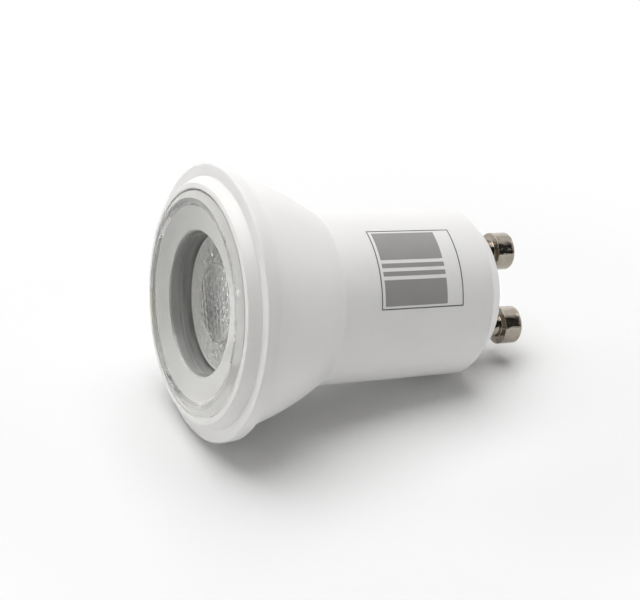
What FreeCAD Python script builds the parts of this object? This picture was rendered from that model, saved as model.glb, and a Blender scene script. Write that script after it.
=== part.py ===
# A GU10 spotlight bulb, 35 mm across its rim, with the driver and LED inside.
# It stands on the flat edge of its lens at z = 0, with its axis on Z and its two pins up, in
# line along Y. All lengths are in millimetres.
import FreeCAD, Part
import os
from math import asin, degrees
from types import SimpleNamespace

import Sketcher
from FreeCAD import Placement, Rotation, Vector

doc = FreeCAD.newDocument("SpotlightBulb")

# Driving sizes. Whatever seats in, lines up with or clears another piece is worked out from them
# further down.
SIZES = [
    # front ring
    ("rim_radius", "17.5", "widest part of the ring"),
    ("ring_draft", "0.1", "taper of the ring's side wall"),
    ("ring_side", "1.7", "length of the side wall"),
    ("ring_edge", "0.3", "rounding of the ring's outer edge"),
    ("band_width", "1.6", "flat band between the outer edge and the steep face"),
    ("band_drop", "0.05", "fall of the band towards its outer edge"),
    ("cone_drop", "1.45", "fall of the steep face"),
    ("lip_width", "0.7", "flat lip round the lens"),
    ("lip_fall", "0.1", "fall of the lip towards its outer edge"),
    ("ledge_depth", "2.1", "length of the ring's hole, from lip to lens ledge"),
    ("skirt_wall", "0.55", "wall of the skirt inside the shell's mouth"),
    ("skirt_length", "1.3", "skirt behind the ring's back face"),
    ("snap_height", "0.15", "snap bead on the skirt"),
    ("rim_overhang", "1.2", "ring beyond the shell's mouth"),
    # clearances
    ("fit_gap", "0.1", "snapped and slid fits"),
    ("seat_gap", "0.05", "seated faces"),
    ("lens_gap", "0.25", "between lens and ring"),
    ("flange_gap", "0.15", "round the lens flange"),
    # lens
    ("lens_proud", "0.5", "lens in front of the ring's lip"),
    ("bevel_width", "0.9", "front bevel of the lens, across"),
    ("bevel_height", "0.55", "front bevel of the lens, along"),
    ("bead_width", "0.6", "flat of the raised front edge"),
    ("bead_drop", "0.35", "height of the raised edge over the face"),
    ("flange_step", "0.4", "flange beyond the lens body"),
    ("flange_thickness", "1.75", "lens flange"),
    ("flange_width", "1.3", "flange beyond the reflecting flank"),
    ("mouth_radius", "9.2", "mouth of the lens's well"),
    ("mouth_depth", "0.95", "mouth behind the front edge"),
    ("mouth_edge", "0.2", "bevel of the mouth"),
    ("well_draft", "0.2", "taper of the well's wall"),
    ("well_depth", "3.05", "floor behind the mouth"),
    ("disc_radius", "5.1", "disc with lenslets in the middle of the well"),
    ("disc_height", "0.5", "disc over the floor"),
    ("lenslet_rise", "0.15", "height of a lenslet over the disc"),
    ("lenslet_root", "0.02", "lenslet's foot inside the disc"),
    ("nib_radius", "0.35", "stub of the mould's gate on the front bevel"),
    ("nib_drop", "0.05", "stub behind the front edge"),
    ("flank_bow", "18", "arc radius of the reflecting flank"),
    ("waist_gap", "0.4", "between the flank's end and the screw heads"),
    ("foot_wall", "1", "lens's foot round the hollow over the LED"),
    ("cavity_gap", "0.25", "hollow beyond the LED's corners"),
    ("cavity_draft", "0.3", "taper of that hollow"),
    ("cavity_depth", "2.8", "straight part of that hollow"),
    ("cavity_dome", "0.9", "height of the dome over it"),
    # shell
    ("mouth_wall", "1", "wall round the ring's skirt"),
    ("cup_length", "11.9", "flared cup"),
    ("cup_bow", "34.5", "arc radius of the cup's outline"),
    ("neck_radius", "11.3", "neck at the cup"),
    ("neck_draft", "0.3", "taper of the neck"),
    ("neck_length", "21.6", "neck"),
    ("neck_wall", "1.1", "wall of the neck"),
    ("seat_rise", "1.4", "heat sink's seat in front of the neck"),
    ("seat_inset", "0.5", "that seat inside the neck's outer radius"),
    # heat sink, pad, LED board
    ("sink_wall", "0.9", "wall of the heat sink"),
    ("sink_gap", "0.3", "air between heat sink and shell at the rim"),
    ("sink_floor", "1.5", "thickness of the heat sink's floor"),
    ("sink_foot", "0.7", "height of its straight foot"),
    ("pad_thickness", "0.3", "thermal pad"),
    ("pad_margin", "0.3", "board beyond the pad"),
    ("board_thickness", "1", "LED board"),
    ("board_margin", "0.35", "between the board and the heat sink's wall"),
    ("chip_side", "4.6", "LED's base, square"),
    ("chip_thickness", "0.6", "LED's base"),
    ("phosphor_radius", "2", "LED's phosphor"),
    ("phosphor_height", "0.4", "LED's phosphor"),
    ("screw_margin", "1.7", "screw's axis inside the board's edge"),
    ("screw_radius", "0.8", "screw shank"),
    ("screw_head_radius", "1.4", "screw head"),
    ("screw_head", "0.8", "height of the screw head"),
    ("screw_slot", "0.45", "width of the cross recess"),
    ("wire_margin", "2.2", "LED wire's axis inside the board's edge"),
    ("wire_radius", "0.5", "LED and pin wires"),
    ("wire_hole", "1", "radius of the wires' holes"),
    ("wire_bend", "0.9", "bend of a wire's centre line on the LED board"),
    ("wire_reach", "2.2", "wire along a board to its joint"),
    ("wire_stub", "0.2", "straight end of a wire at the driver board"),
    # driver board
    ("driver_front_gap", "2.7", "between heat sink and driver board"),
    ("driver_back_gap", "1.4", "between driver board and the pins' inner ends"),
    ("driver_side_gap", "0.8", "between driver board and the plug's wall"),
    ("driver_thickness", "1", "driver board"),
    ("driver_face", "1", "distance of its face from the axis, towards -X"),
    # base cap
    ("bevel_inset", "2.3", "bevelled end, across"),
    ("bevel_length", "2.6", "bevelled end, along"),
    ("cap_edge", "0.9", "rounding of the end"),
    ("cap_floor", "2", "thickness of the end wall"),
    ("plug_length", "4", "plug inside the neck"),
    ("plug_wall", "1", "wall of the plug"),
    ("leg_length", "8.9", "guide legs in front of the end wall"),
    ("leg_depth", "0.6", "board inside a guide leg"),
    ("leg_back", "0.6", "leg outside the board's edge"),
    ("leg_wall", "1", "leg on each side of the board"),
    # pins
    ("pin_place", "5", "distance of a pin from the axis"),
    ("pin_head_radius", "2.5", "pin head"),
    ("pin_head_length", "2.6", "pin head"),
    ("pin_head_edge", "0.5", "rounding of the head's end"),
    ("pin_neck_length", "4.4", "pin between base and head"),
    ("pin_radius", "1.5", "pin shank"),
    ("pin_flange_radius", "2", "flange under the end wall"),
    ("pin_flange", "0.8", "thickness of that flange"),
    ("pin_tail", "0.7", "shank in front of the flange"),
    ("pin_bore_depth", "4", "bore for the wire"),
    ("pin_wire_drop", "2.8", "pin wire's joint in front of the pin"),
    # driver components
    ("edge_margin", "1.4", "board in front of its first components"),
    ("part_gap", "0.5", "between can and inductor"),
    ("row_gap", "1.6", "between rows of components on the back face"),
    ("can_radius", "3.9", "output capacitor"),
    ("can_length", "10.5", "output capacitor"),
    ("lead_radius", "0.3", "component leads"),
    ("lead_length", "0.9", "lead from a component to its corner"),
    ("lead_bend", "0.5", "bend of a lead's centre line"),
    ("lead_spacing", "3.5", "distance of the can's leads"),
    ("drum_radius", "2.8", "inductor core"),
    ("drum_length", "5.6", "inductor core"),
    ("drum_flange", "0.8", "flanges of the core"),
    ("hub_radius", "1.3", "hub of the core"),
    ("winding_depth", "0.3", "flange beyond the winding"),
    ("film_width", "7", "input capacitor, across"),
    ("film_length", "5.4", "input capacitor, along the lamp"),
    ("film_height", "4.8", "input capacitor, off the board"),
    ("film_edge", "0.4", "bevel of its case"),
    ("bridge_length", "4.8", "bridge rectifier, along the lamp"),
    ("bridge_width", "4", "bridge rectifier, across"),
    ("bridge_height", "2.4", "bridge rectifier, off the board"),
    ("bridge_offset", "2.6", "near side of the bridge on Y"),
    ("bridge_leg", "0.7", "width of its legs"),
    ("bridge_leg_inset", "0.7", "legs inside its ends"),
    ("chip_length", "4.9", "driver chip, along the lamp"),
    ("chip_width", "3.9", "driver chip, across"),
    ("chip_height", "1.5", "driver chip, off the board"),
    ("chip_offset", "1.2", "near side of the driver chip on Y"),
    ("gull_width", "0.45", "leg of the chip"),
    ("gull_pitch", "1.27", "distance between the chip's legs"),
    ("gull_reach", "1", "length of a leg on the board"),
    ("gull_thickness", "0.25", "thickness of a leg"),
    ("fuse_radius", "1.2", "fusible resistor"),
    ("fuse_length", "5", "fusible resistor"),
    ("fuse_gap", "0.8", "between input capacitor and fusible resistor"),
    ("smd_length", "2", "chip resistor"),
    ("smd_width", "1.25", "chip resistor"),
    ("smd_height", "0.6", "chip resistor"),
    ("smd_pitch", "2.2", "distance between chip resistors"),
]

SMD_COUNT = 5
GULLS_PER_SIDE = 4
LENSLET_STEPS = 4
LENSLET_REACH_SQUARED = 19
LENSLETS_PER_RADIUS = 4.86
LENSLET_SHARE = 0.46
TOUCH = 1e-6


class Size:
    """A length: its number for the first drawing, and its formula for the binding."""

    def __init__(self, number, formula=None):
        self.number = float(number)
        self.formula = formula or str(number)

    def __add__(self, other):
        other = as_size(other)
        return Size(self.number + other.number, f"({self.formula} + {other.formula})")

    def __sub__(self, other):
        other = as_size(other)
        return Size(self.number - other.number, f"({self.formula} - {other.formula})")

    def __mul__(self, other):
        other = as_size(other)
        return Size(self.number * other.number, f"({self.formula} * {other.formula})")

    def __truediv__(self, other):
        other = as_size(other)
        return Size(self.number / other.number, f"({self.formula} / {other.formula})")

    def __neg__(self):
        return Size(-self.number, f"(-({self.formula}))")

    def root(self):
        return Size(self.number ** 0.5, f"sqrt({self.formula})")

    def arcsine(self):
        """In degrees."""
        return Size(degrees(asin(self.number)), f"asin({self.formula})")


def as_size(value):
    return value if isinstance(value, Size) else Size(value)


def fill_sheet():
    """Put the driving sizes in a sheet, one row each, and return them by name."""
    sheet = doc.addObject("Spreadsheet::Sheet", "Sizes")
    for row, (alias, number, note) in enumerate(SIZES, start=1):
        sheet.set(f"A{row}", alias)
        sheet.set(f"B{row}", number)
        sheet.set(f"C{row}", note)
        sheet.setAlias(f"B{row}", alias)
    doc.recompute()
    return SimpleNamespace(**{alias: Size(number, f"Sizes.{alias}") for alias, number, _ in SIZES})


size = fill_sheet()

# Places worked out from the sizes. A name in _z is a height over the lens's front edge.

# ring and lens, from the rim inwards and from the front edge back
mouth_outer = size.rim_radius - size.rim_overhang
rabbet_radius = mouth_outer - size.mouth_wall
skirt_outer = rabbet_radius - size.fit_gap
skirt_inner = skirt_outer - size.skirt_wall
flange_radius = skirt_inner - size.flange_gap
lens_radius = flange_radius - size.flange_step
hole_radius = lens_radius + size.lens_gap
bead_radius = lens_radius - size.bevel_width
lip_radius = hole_radius + size.lip_width
lip_z = size.lens_proud
lip_edge_z = lip_z + size.lip_fall
cone_z = lip_edge_z + size.cone_drop
band_z = cone_z + size.band_drop
ring_back_z = band_z + size.ring_side
snap_z = ring_back_z + size.skirt_length / 2
skirt_end_z = ring_back_z + size.skirt_length
ledge_z = lip_z + size.ledge_depth
flange_z = ledge_z + size.seat_gap
flange_back_z = flange_z + size.flange_thickness
well_floor_z = size.mouth_depth + size.well_depth
disc_z = well_floor_z - size.disc_height
lenslet_pitch = size.disc_radius / LENSLETS_PER_RADIUS
lenslet_radius = lenslet_pitch * LENSLET_SHARE
lenslet_sphere = (lenslet_radius * lenslet_radius / size.lenslet_rise + size.lenslet_rise) / 2
nib_place = lens_radius - size.bevel_width + size.nib_radius

# shell
cup_inner = skirt_inner + size.seat_gap
neck_z = ring_back_z + size.cup_length
neck_back_z = neck_z + size.neck_length
neck_back_radius = size.neck_radius - size.neck_draft
neck_bore = neck_back_radius - size.neck_wall
seat_radius = size.neck_radius - size.seat_inset

# heat sink, pad, LED board and the lens's foot on it
sink_rim_radius = cup_inner - size.sink_gap
sink_foot_radius = seat_radius - size.seat_gap
sink_bore = sink_foot_radius - size.sink_wall
sink_rim_z = flange_back_z + size.seat_gap
sink_back_z = neck_z - size.seat_rise
sink_floor_z = sink_back_z - size.sink_floor
pad_z = sink_floor_z - size.pad_thickness
board_z = pad_z - size.board_thickness
board_radius = sink_bore - size.board_margin
pad_radius = board_radius - size.pad_margin
screw_place = board_radius - size.screw_margin
led_wire_place = board_radius - size.wire_margin
lens_back_z = board_z - size.seat_gap
chip_corner = (size.chip_side * size.chip_side / 2).root()
cavity_radius = chip_corner + size.cavity_gap
cavity_z = lens_back_z - size.cavity_depth
screw_head_z = board_z - size.screw_head
waist_radius = screw_place - size.screw_head_radius - size.waist_gap
waist_z = screw_head_z - size.waist_gap

# base cap and pins
cap_end_radius = neck_back_radius - size.bevel_inset
cap_end_z = neck_back_z + size.bevel_length
wall_z = cap_end_z - size.cap_floor
plug_outer = neck_bore - size.seat_gap
plug_inner = plug_outer - size.plug_wall
pin_front_z = wall_z - size.pin_flange - size.pin_tail
pin_head_z = cap_end_z + size.pin_neck_length
pin_top_z = pin_head_z + size.pin_head_length

# driver board, upright in the neck with its face to +X, and the rows on it
face_x = -size.driver_face
back_x = face_x - size.driver_thickness
driver_z = sink_back_z + size.driver_front_gap
driver_end_z = pin_front_z - size.driver_back_gap
driver_half_width = plug_inner - size.driver_side_gap
first_row_z = driver_z + size.edge_margin
drum_z = first_row_z + size.can_length + size.part_gap + size.drum_radius
second_row_z = first_row_z + size.smd_length + size.row_gap
third_row_z = second_row_z + size.bridge_length + size.row_gap


def bind(item, **lengths):
    """Bind an object's properties to sizes of the sheet."""
    for name, length in lengths.items():
        item.setExpression(name, as_size(length).formula)


def place(item, x=0, y=0, z=0, turn=None):
    """Bind where an object stands; turn is its rotation."""
    if turn is not None:
        item.Placement = Placement(Vector(0, 0, 0), turn)
    for axis, length in (("x", x), ("y", y), ("z", z)):
        item.setExpression(f"Placement.Base.{axis}", as_size(length).formula)


ALONG_X = Rotation(Vector(0, 1, 0), 90)


# Sketches

def new_sketch(body, name, plane="XZ_Plane", station=None):
    """A sketch on one of the body's own planes, raised along its normal by a station."""
    sketch = body.newObject("Sketcher::SketchObject", name)
    origin_plane = [f for f in body.Origin.OriginFeatures if f.Role == plane][0]
    sketch.AttachmentSupport = [(origin_plane, "")]
    sketch.MapMode = "FlatFace"
    if station is not None:
        sketch.setExpression("AttachmentOffset.Base.z", as_size(station).formula)
    return sketch


def pin_coordinate(sketch, kind, geometry, end, length):
    """Hold one coordinate of a point at a size, or on the axis where the size is 0."""
    length = as_size(length)
    if length.formula == "0":
        axis = -2 if kind == "DistanceX" else -1
        sketch.addConstraint(Sketcher.Constraint("PointOnObject", geometry, end, axis))
        return
    index = sketch.addConstraint(
        Sketcher.Constraint(kind, -1, 1, geometry, end, length.number))
    sketch.setExpression(f"Constraints[{index}]", length.formula)


def point_of(corner):
    return Vector(as_size(corner[0]).number, as_size(corner[1]).number, 0)


def arc_through(start, stop, radius):
    """An arc from start to stop; a positive radius bows it to the left of the way there."""
    chord = stop - start
    half = chord.Length / 2
    left = Vector(-chord.y, chord.x, 0).normalize()
    rise = abs(radius) - (radius * radius - half * half) ** 0.5
    middle = start + chord * 0.5 + left * (rise if radius > 0 else -rise)
    return Part.Arc(start, middle, stop)


def draw_outline(sketch, corners):
    """A closed outline through the corners, each (x, y) or (x, y, arc) for the edge after it."""
    ends = []
    for here, there in zip(corners, corners[1:] + corners[:1]):
        start, stop = point_of(here), point_of(there)
        if len(here) == 3:
            geometry = sketch.addGeometry(arc_through(start, stop, here[2].number))
            radius = abs(here[2].number)
            formula = here[2].formula if here[2].number > 0 else (-here[2]).formula
            index = sketch.addConstraint(Sketcher.Constraint("Radius", geometry, radius))
            sketch.setExpression(f"Constraints[{index}]", formula)
        else:
            geometry = sketch.addGeometry(Part.LineSegment(start, stop))
        starts_here = (sketch.getPoint(geometry, 1) - start).Length < TOUCH
        ends.append((geometry, 1, 2) if starts_here else (geometry, 2, 1))
    for number, (geometry, first, _) in enumerate(ends):
        before, _, last = ends[number - 1]
        sketch.addConstraint(Sketcher.Constraint("Coincident", before, last, geometry, first))
        pin_coordinate(sketch, "DistanceX", geometry, first, corners[number][0])
        pin_coordinate(sketch, "DistanceY", geometry, first, corners[number][1])


def draw_circle(sketch, x, y, radius):
    centre = Vector(as_size(x).number, as_size(y).number, 0)
    geometry = sketch.addGeometry(Part.Circle(centre, Vector(0, 0, 1), radius.number))
    index = sketch.addConstraint(Sketcher.Constraint("Radius", geometry, radius.number))
    sketch.setExpression(f"Constraints[{index}]", radius.formula)
    pin_coordinate(sketch, "DistanceX", geometry, 3, x)
    pin_coordinate(sketch, "DistanceY", geometry, 3, y)


def draw_rectangle(sketch, x1, y1, x2, y2):
    draw_outline(sketch, [(x1, y1), (x2, y1), (x2, y2), (x1, y2)])


# Features

def new_body(label):
    body = doc.addObject("PartDesign::Body", label)
    body.Label = label
    return body


def revolve(label, corners):
    """A body turned from an outline of (radius, height) about the Z axis."""
    body = new_body(label)
    sketch = new_sketch(body, "Profile")
    draw_outline(sketch, corners)
    turned = body.newObject("PartDesign::Revolution", "Turned")
    turned.Profile = sketch
    turned.ReferenceAxis = (sketch, ["V_Axis"])
    turned.Angle = 360
    doc.recompute()
    return body


def pad(body, sketch, length):
    """Raise a sketch on the XY plane along Z."""
    raised = body.newObject("PartDesign::Pad", sketch.Name + "Pad")
    raised.Profile = sketch
    bind(raised, Length=length)
    doc.recompute()
    return body


def cut_up(body, sketch, length=None):
    """Cut a sketch on the XY plane upwards, through everything or by a length."""
    before = body.Shape.Volume
    pocket = body.newObject("PartDesign::Pocket", sketch.Name + "Cut")
    pocket.Profile = sketch
    pocket.Reversed = True
    if length is None:
        pocket.Type = "ThroughAll"
    else:
        bind(pocket, Length=length)
    doc.recompute()
    if not body.Shape.Volume < before:
        raise ValueError(f"{body.Label}: {sketch.Name} cuts nothing")
    return body


def dress_edges(body, kind, test, **lengths):
    """Fillet or chamfer the edges whose bounding box passes the test."""
    tip = body.Tip
    names = [f"Edge{number}" for number, edge in enumerate(body.Shape.Edges, start=1)
             if test(edge.BoundBox)]
    if not names:
        raise ValueError(f"{body.Label}: no edge to {kind.lower()}")
    dressed = body.newObject("PartDesign::" + kind, body.Label + kind)
    dressed.Base = (tip, names)
    bind(dressed, **lengths)
    doc.recompute()
    return body


def round_rim(body, radius, height, rounding):
    """Fillet the circular edge that a turned body has at this radius and height."""
    def is_rim(box):
        return (abs(box.XMax - radius.number) < TOUCH and abs(box.ZMax - height.number) < TOUCH
                and box.ZLength < TOUCH)
    return dress_edges(body, "Fillet", is_rim, Radius=rounding)


def cylinder(name, radius, length):
    item = doc.addObject("Part::Cylinder", name)
    bind(item, Radius=radius, Height=length)
    return item


def box(name, x, y, z):
    item = doc.addObject("Part::Box", name)
    bind(item, Length=x, Width=y, Height=z)
    return item


def fuse(label, items):
    item = doc.addObject("Part::MultiFuse", label)
    item.Shapes = items
    item.Label = label
    return item


def cut(label, solid, tool):
    item = doc.addObject("Part::Cut", label)
    item.Base, item.Tool = solid, tool
    return item


def group(label, items):
    item = doc.addObject("Part::Compound", label)
    item.Links = items
    item.Label = label
    return item


# White plastic ring, shell and base

def front_ring():
    """The bezel: a lip round the lens, a steep face, a flat band, and a skirt that snaps in."""
    s = size
    ring = revolve("front_ring", [
        (hole_radius, lip_z),
        (lip_radius, lip_edge_z),
        (s.rim_radius - s.band_width, cone_z),
        (s.rim_radius, band_z),
        (s.rim_radius - s.ring_draft, ring_back_z),
        (skirt_outer, ring_back_z),
        (skirt_outer, snap_z - s.snap_height),
        (skirt_outer + s.snap_height, snap_z),
        (skirt_outer, snap_z + s.snap_height),
        (skirt_outer, skirt_end_z),
        (skirt_inner, skirt_end_z),
        (skirt_inner, ledge_z),
        (hole_radius, ledge_z),
    ])
    return round_rim(ring, s.rim_radius, band_z, s.ring_edge)


def body_shell():
    """The flared cup and the tapered neck, with a groove for the ring's snap bead."""
    s = size
    rabbet_end_z = skirt_end_z + s.fit_gap
    groove_half = s.snap_height + s.fit_gap
    return revolve("body_shell", [
        (mouth_outer, ring_back_z, -s.cup_bow),
        (s.neck_radius, neck_z),
        (neck_back_radius, neck_back_z),
        (neck_bore, neck_back_z),
        (s.neck_radius - s.neck_wall, sink_back_z),
        (seat_radius, sink_back_z, s.cup_bow),
        (cup_inner, rabbet_end_z),
        (rabbet_radius, rabbet_end_z),
        (rabbet_radius, snap_z + groove_half),
        (rabbet_radius + s.snap_height, snap_z),
        (rabbet_radius, snap_z - groove_half),
        (rabbet_radius, ring_back_z),
    ])


def base_cap():
    """The end plug: bevelled end with the pin holes, and two legs that hold the driver board."""
    s = size
    cap = revolve("base_cap", [
        (0, wall_z),
        (plug_inner, wall_z),
        (plug_inner, neck_back_z - s.plug_length),
        (plug_outer, neck_back_z - s.plug_length),
        (plug_outer, neck_back_z),
        (neck_back_radius, neck_back_z),
        (cap_end_radius, cap_end_z),
        (0, cap_end_z),
    ])
    round_rim(cap, cap_end_radius, cap_end_z, s.cap_edge)
    leg_z = wall_z - s.leg_length
    leg_inside = driver_half_width - s.leg_depth
    legs = new_sketch(cap, "GuideLegs", "XY_Plane", leg_z)
    slots = new_sketch(cap, "BoardSlots", "XY_Plane", leg_z)
    holes = new_sketch(cap, "PinHoles", "XY_Plane", wall_z - s.fit_gap)
    for side in (1, -1):
        draw_rectangle(legs, back_x - s.leg_wall, leg_inside * side,
                       face_x + s.leg_wall, (driver_half_width + s.leg_back) * side)
        draw_rectangle(slots, back_x - s.seat_gap, (leg_inside - s.fit_gap) * side,
                       face_x + s.seat_gap, (driver_half_width + s.seat_gap) * side)
        draw_circle(holes, 0, s.pin_place * side, s.pin_radius + s.seat_gap)
    pad(cap, legs, s.leg_length + s.fit_gap)
    cut_up(cap, slots, driver_end_z + s.seat_gap - leg_z)
    return cut_up(cap, holes, s.cap_floor + s.fit_gap * 2)


# Optics

def lens():
    """The clear collimator with its honeycomb of lenslets and the stub of its gate."""
    nib = cylinder("GateNib", size.nib_radius, size.bevel_height - size.nib_drop)
    place(nib, nib_place, 0, size.nib_drop)
    return fuse("lens", [lens_body(), nib] + [
        lenslet(row, step) for row in range(-LENSLET_STEPS, LENSLET_STEPS + 1)
        for step in range(-LENSLET_STEPS, LENSLET_STEPS + 1)
        if row * row + row * step + step * step <= LENSLET_REACH_SQUARED])


def lenslet(row, step):
    """A cap of a sphere on the disc; rows run along Y, and each is half a pitch off the last."""
    item = doc.addObject("Part::Sphere", "Lenslet")
    centre_z = disc_z - size.lenslet_rise + lenslet_sphere
    foot = centre_z - disc_z - size.lenslet_root
    bind(item, Radius=lenslet_sphere, Angle2=-(foot / lenslet_sphere).arcsine())
    row_pitch = lenslet_pitch * as_size(3).root() / 2
    place(item, row_pitch * row, lenslet_pitch * (step + row / 2), centre_z)
    return item


def lens_body():
    """Raised edge, well with a disc in it, flank, and hollow over the LED."""
    s = size
    bead_inner = bead_radius - s.bead_width
    wall_radius = s.mouth_radius - s.mouth_edge
    return revolve("LensBody", [
        (bead_inner, 0),
        (bead_radius, 0),
        (lens_radius, s.bevel_height),
        (lens_radius, flange_z),
        (flange_radius, flange_z),
        (flange_radius, flange_back_z),
        (flange_radius - s.flange_width, flange_back_z, -s.flank_bow),
        (waist_radius, waist_z),
        (cavity_radius + s.foot_wall, lens_back_z),
        (cavity_radius, lens_back_z),
        (cavity_radius - s.cavity_draft, cavity_z, dome_bow()),
        (0, cavity_z - s.cavity_dome),
        (0, disc_z),
        (s.disc_radius, disc_z),
        (s.disc_radius, well_floor_z),
        (wall_radius - s.well_draft, well_floor_z),
        (wall_radius, s.mouth_depth + s.mouth_edge),
        (s.mouth_radius, s.mouth_depth),
        (bead_inner - s.bead_drop, s.bead_drop),
    ])


def dome_bow():
    """Radius of the dome that spans the hollow's end at its height."""
    s = size
    half_span = cavity_radius - s.cavity_draft
    return (half_span * half_span / s.cavity_dome + s.cavity_dome) / 2


# Heat sink, pad and LED board

def heat_sink():
    """The spun aluminium cup behind the lens, with holes for screws and wires."""
    s = size
    sink = revolve("heat_sink", [
        (sink_rim_radius, sink_rim_z),
        (sink_rim_radius, sink_rim_z + s.sink_wall, -s.cup_bow),
        (sink_foot_radius, sink_back_z - s.sink_foot),
        (sink_foot_radius, sink_back_z),
        (0, sink_back_z),
        (0, sink_floor_z),
        (sink_bore, sink_floor_z, s.cup_bow),
        (sink_rim_radius - s.sink_wall, sink_rim_z),
    ])
    return drill_board_holes(sink, s.screw_radius)


def drill_board_holes(body, screw_hole):
    """Two holes for the screws, on X, and two for the LED wires, on Y."""
    holes = new_sketch(body, body.Label + "Holes", "XY_Plane")
    for side in (1, -1):
        draw_circle(holes, screw_place * side, 0, screw_hole)
        draw_circle(holes, 0, led_wire_place * side, size.wire_hole)
    return cut_up(body, holes)


def disc(label, radius, height, thickness):
    body = new_body(label)
    sketch = new_sketch(body, label + "Disc", "XY_Plane", height)
    draw_circle(sketch, 0, 0, radius)
    pad(body, sketch, thickness)
    return drill_board_holes(body, size.screw_radius + size.seat_gap)


def thermal_pad():
    return disc("thermal_pad", pad_radius, pad_z, size.pad_thickness)


def led_board():
    return disc("led_board", board_radius, board_z, size.board_thickness)


def led_emitter():
    """The chip-on-board LED: a square base with its round phosphor."""
    s = size
    body = new_body("led_emitter")
    half = s.chip_side / 2
    base_z = board_z - s.chip_thickness
    base = new_sketch(body, "ChipBase", "XY_Plane", base_z)
    draw_rectangle(base, -half, -half, half, half)
    pad(body, base, s.chip_thickness)
    phosphor = new_sketch(body, "Phosphor", "XY_Plane", base_z - s.phosphor_height)
    draw_circle(phosphor, 0, 0, s.phosphor_radius)
    return pad(body, phosphor, s.phosphor_height)


def board_screw(side):
    """One pan-head screw with a cross recess, its head on the LED board."""
    s = size
    head = cylinder("ScrewHead", s.screw_head_radius, s.screw_head)
    place(head, screw_place * side, 0, screw_head_z)
    shank = cylinder("ScrewShank", s.screw_radius, sink_back_z - board_z)
    place(shank, screw_place * side, 0, board_z)
    screw = fuse("Screw", [head, shank])
    for x, y in ((s.screw_head_radius, s.screw_slot), (s.screw_slot, s.screw_head_radius)):
        slot = box("ScrewSlot", x, y, s.screw_head)
        place(slot, screw_place * side - x / 2, -y / 2, screw_head_z - s.screw_head / 2)
        screw = cut("ScrewCut", screw, slot)
    return screw


def board_screws():
    return group("board_screws", [board_screw(1), board_screw(-1)])


# Wires, each a tube along straight runs joined by tangent bends

def bent_wire(label, radius, start, corners, end):
    """A round wire from start to end with a square turn at each (corner, bend radius)."""
    points = [start] + [corner for corner, _ in corners] + [end]
    edges = []
    here = start
    for number, (corner, bend) in enumerate(corners, start=1):
        into = (corner - points[number - 1]).normalize()
        out = (points[number + 1] - corner).normalize()
        bend_start, bend_end = corner - into * bend.number, corner + out * bend.number
        centre = bend_start + out * bend.number
        middle = centre + (corner - centre).normalize() * bend.number
        edges += [Part.LineSegment(here, bend_start).toShape(),
                  Part.Arc(bend_start, middle, bend_end).toShape()]
        here = bend_end
    edges.append(Part.LineSegment(here, end).toShape())
    section = Part.Circle(start, points[1] - start, radius.number)
    item = doc.addObject("Part::Feature", label)
    item.Shape = Part.Wire(edges).makePipeShell([Part.Wire([section.toShape()])], True, False)
    item.Label = label
    return item


def point_at(x, y, z):
    return Vector(as_size(x).number, as_size(y).number, as_size(z).number)


def led_wire(label, side):
    """From the driver board's face through the heat sink and along the LED board's front."""
    s = size
    y = led_wire_place * side
    joint_z = driver_z + s.wire_reach
    run_z = board_z - s.seat_gap - s.wire_radius
    return bent_wire(label, s.wire_radius, point_at(face_x, y, joint_z), [
        (point_at(0, y, joint_z), s.driver_face - s.wire_stub),
        (point_at(0, y, run_z), s.wire_bend),
    ], point_at(s.wire_reach * side, y, run_z))


def pin_wire(label, side):
    """From the bore of a pin to the face of the driver board."""
    s = size
    y = s.pin_place * side
    joint_z = pin_front_z - s.pin_wire_drop
    return bent_wire(label, s.wire_radius, point_at(0, y, pin_front_z + s.pin_bore_depth / 2), [
        (point_at(0, y, joint_z), s.driver_face - s.wire_stub),
    ], point_at(face_x, y, joint_z))


# Pins

def pin(label, side):
    """A turned pin: thick head with a rounded end, shank, inner flange and wire bore."""
    s = size
    body = revolve(label, [
        (0, pin_top_z),
        (0, pin_front_z + s.pin_bore_depth),
        (s.wire_radius, pin_front_z + s.pin_bore_depth),
        (s.wire_radius, pin_front_z),
        (s.pin_radius, pin_front_z),
        (s.pin_radius, wall_z - s.pin_flange),
        (s.pin_flange_radius, wall_z - s.pin_flange),
        (s.pin_flange_radius, wall_z),
        (s.pin_radius, wall_z),
        (s.pin_radius, pin_head_z),
        (s.pin_head_radius, pin_head_z),
        (s.pin_head_radius, pin_top_z),
    ])
    round_rim(body, s.pin_head_radius, pin_top_z, s.pin_head_edge)
    place(body, 0, s.pin_place * side, 0)
    return body


# Driver board and what it carries

def driver_board():
    board = box("driver_board", size.driver_thickness, driver_half_width * 2,
                driver_end_z - driver_z)
    place(board, back_x, -driver_half_width, driver_z)
    return board


def output_capacitor():
    """An electrolytic can that lies on the board, with two leads bent into it."""
    s = size
    axis_x = face_x + s.can_radius
    bend_z = first_row_z - s.lead_length
    can = cylinder("Can", s.can_radius, s.can_length)
    place(can, axis_x, 0, first_row_z)
    solids = [can]
    for side in (1, -1):
        y = s.lead_spacing / 2 * side
        solids.append(bent_wire("CanLead", s.lead_radius, point_at(face_x, y, bend_z), [
            (point_at(axis_x, y, bend_z), s.lead_bend),
        ], point_at(axis_x, y, first_row_z + s.lead_radius)))
    return fuse("output_capacitor", solids)


def inductor_core():
    """A ferrite drum, its axis square to the board."""
    s = size
    hub = cylinder("DrumHub", s.hub_radius, s.drum_length)
    place(hub, face_x, 0, drum_z, ALONG_X)
    solids = [hub]
    for flange_x in (face_x, face_x + s.drum_length - s.drum_flange):
        flange = cylinder("DrumFlange", s.drum_radius, s.drum_flange)
        place(flange, flange_x, 0, drum_z, ALONG_X)
        solids.append(flange)
    return fuse("inductor_core", solids)


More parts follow.
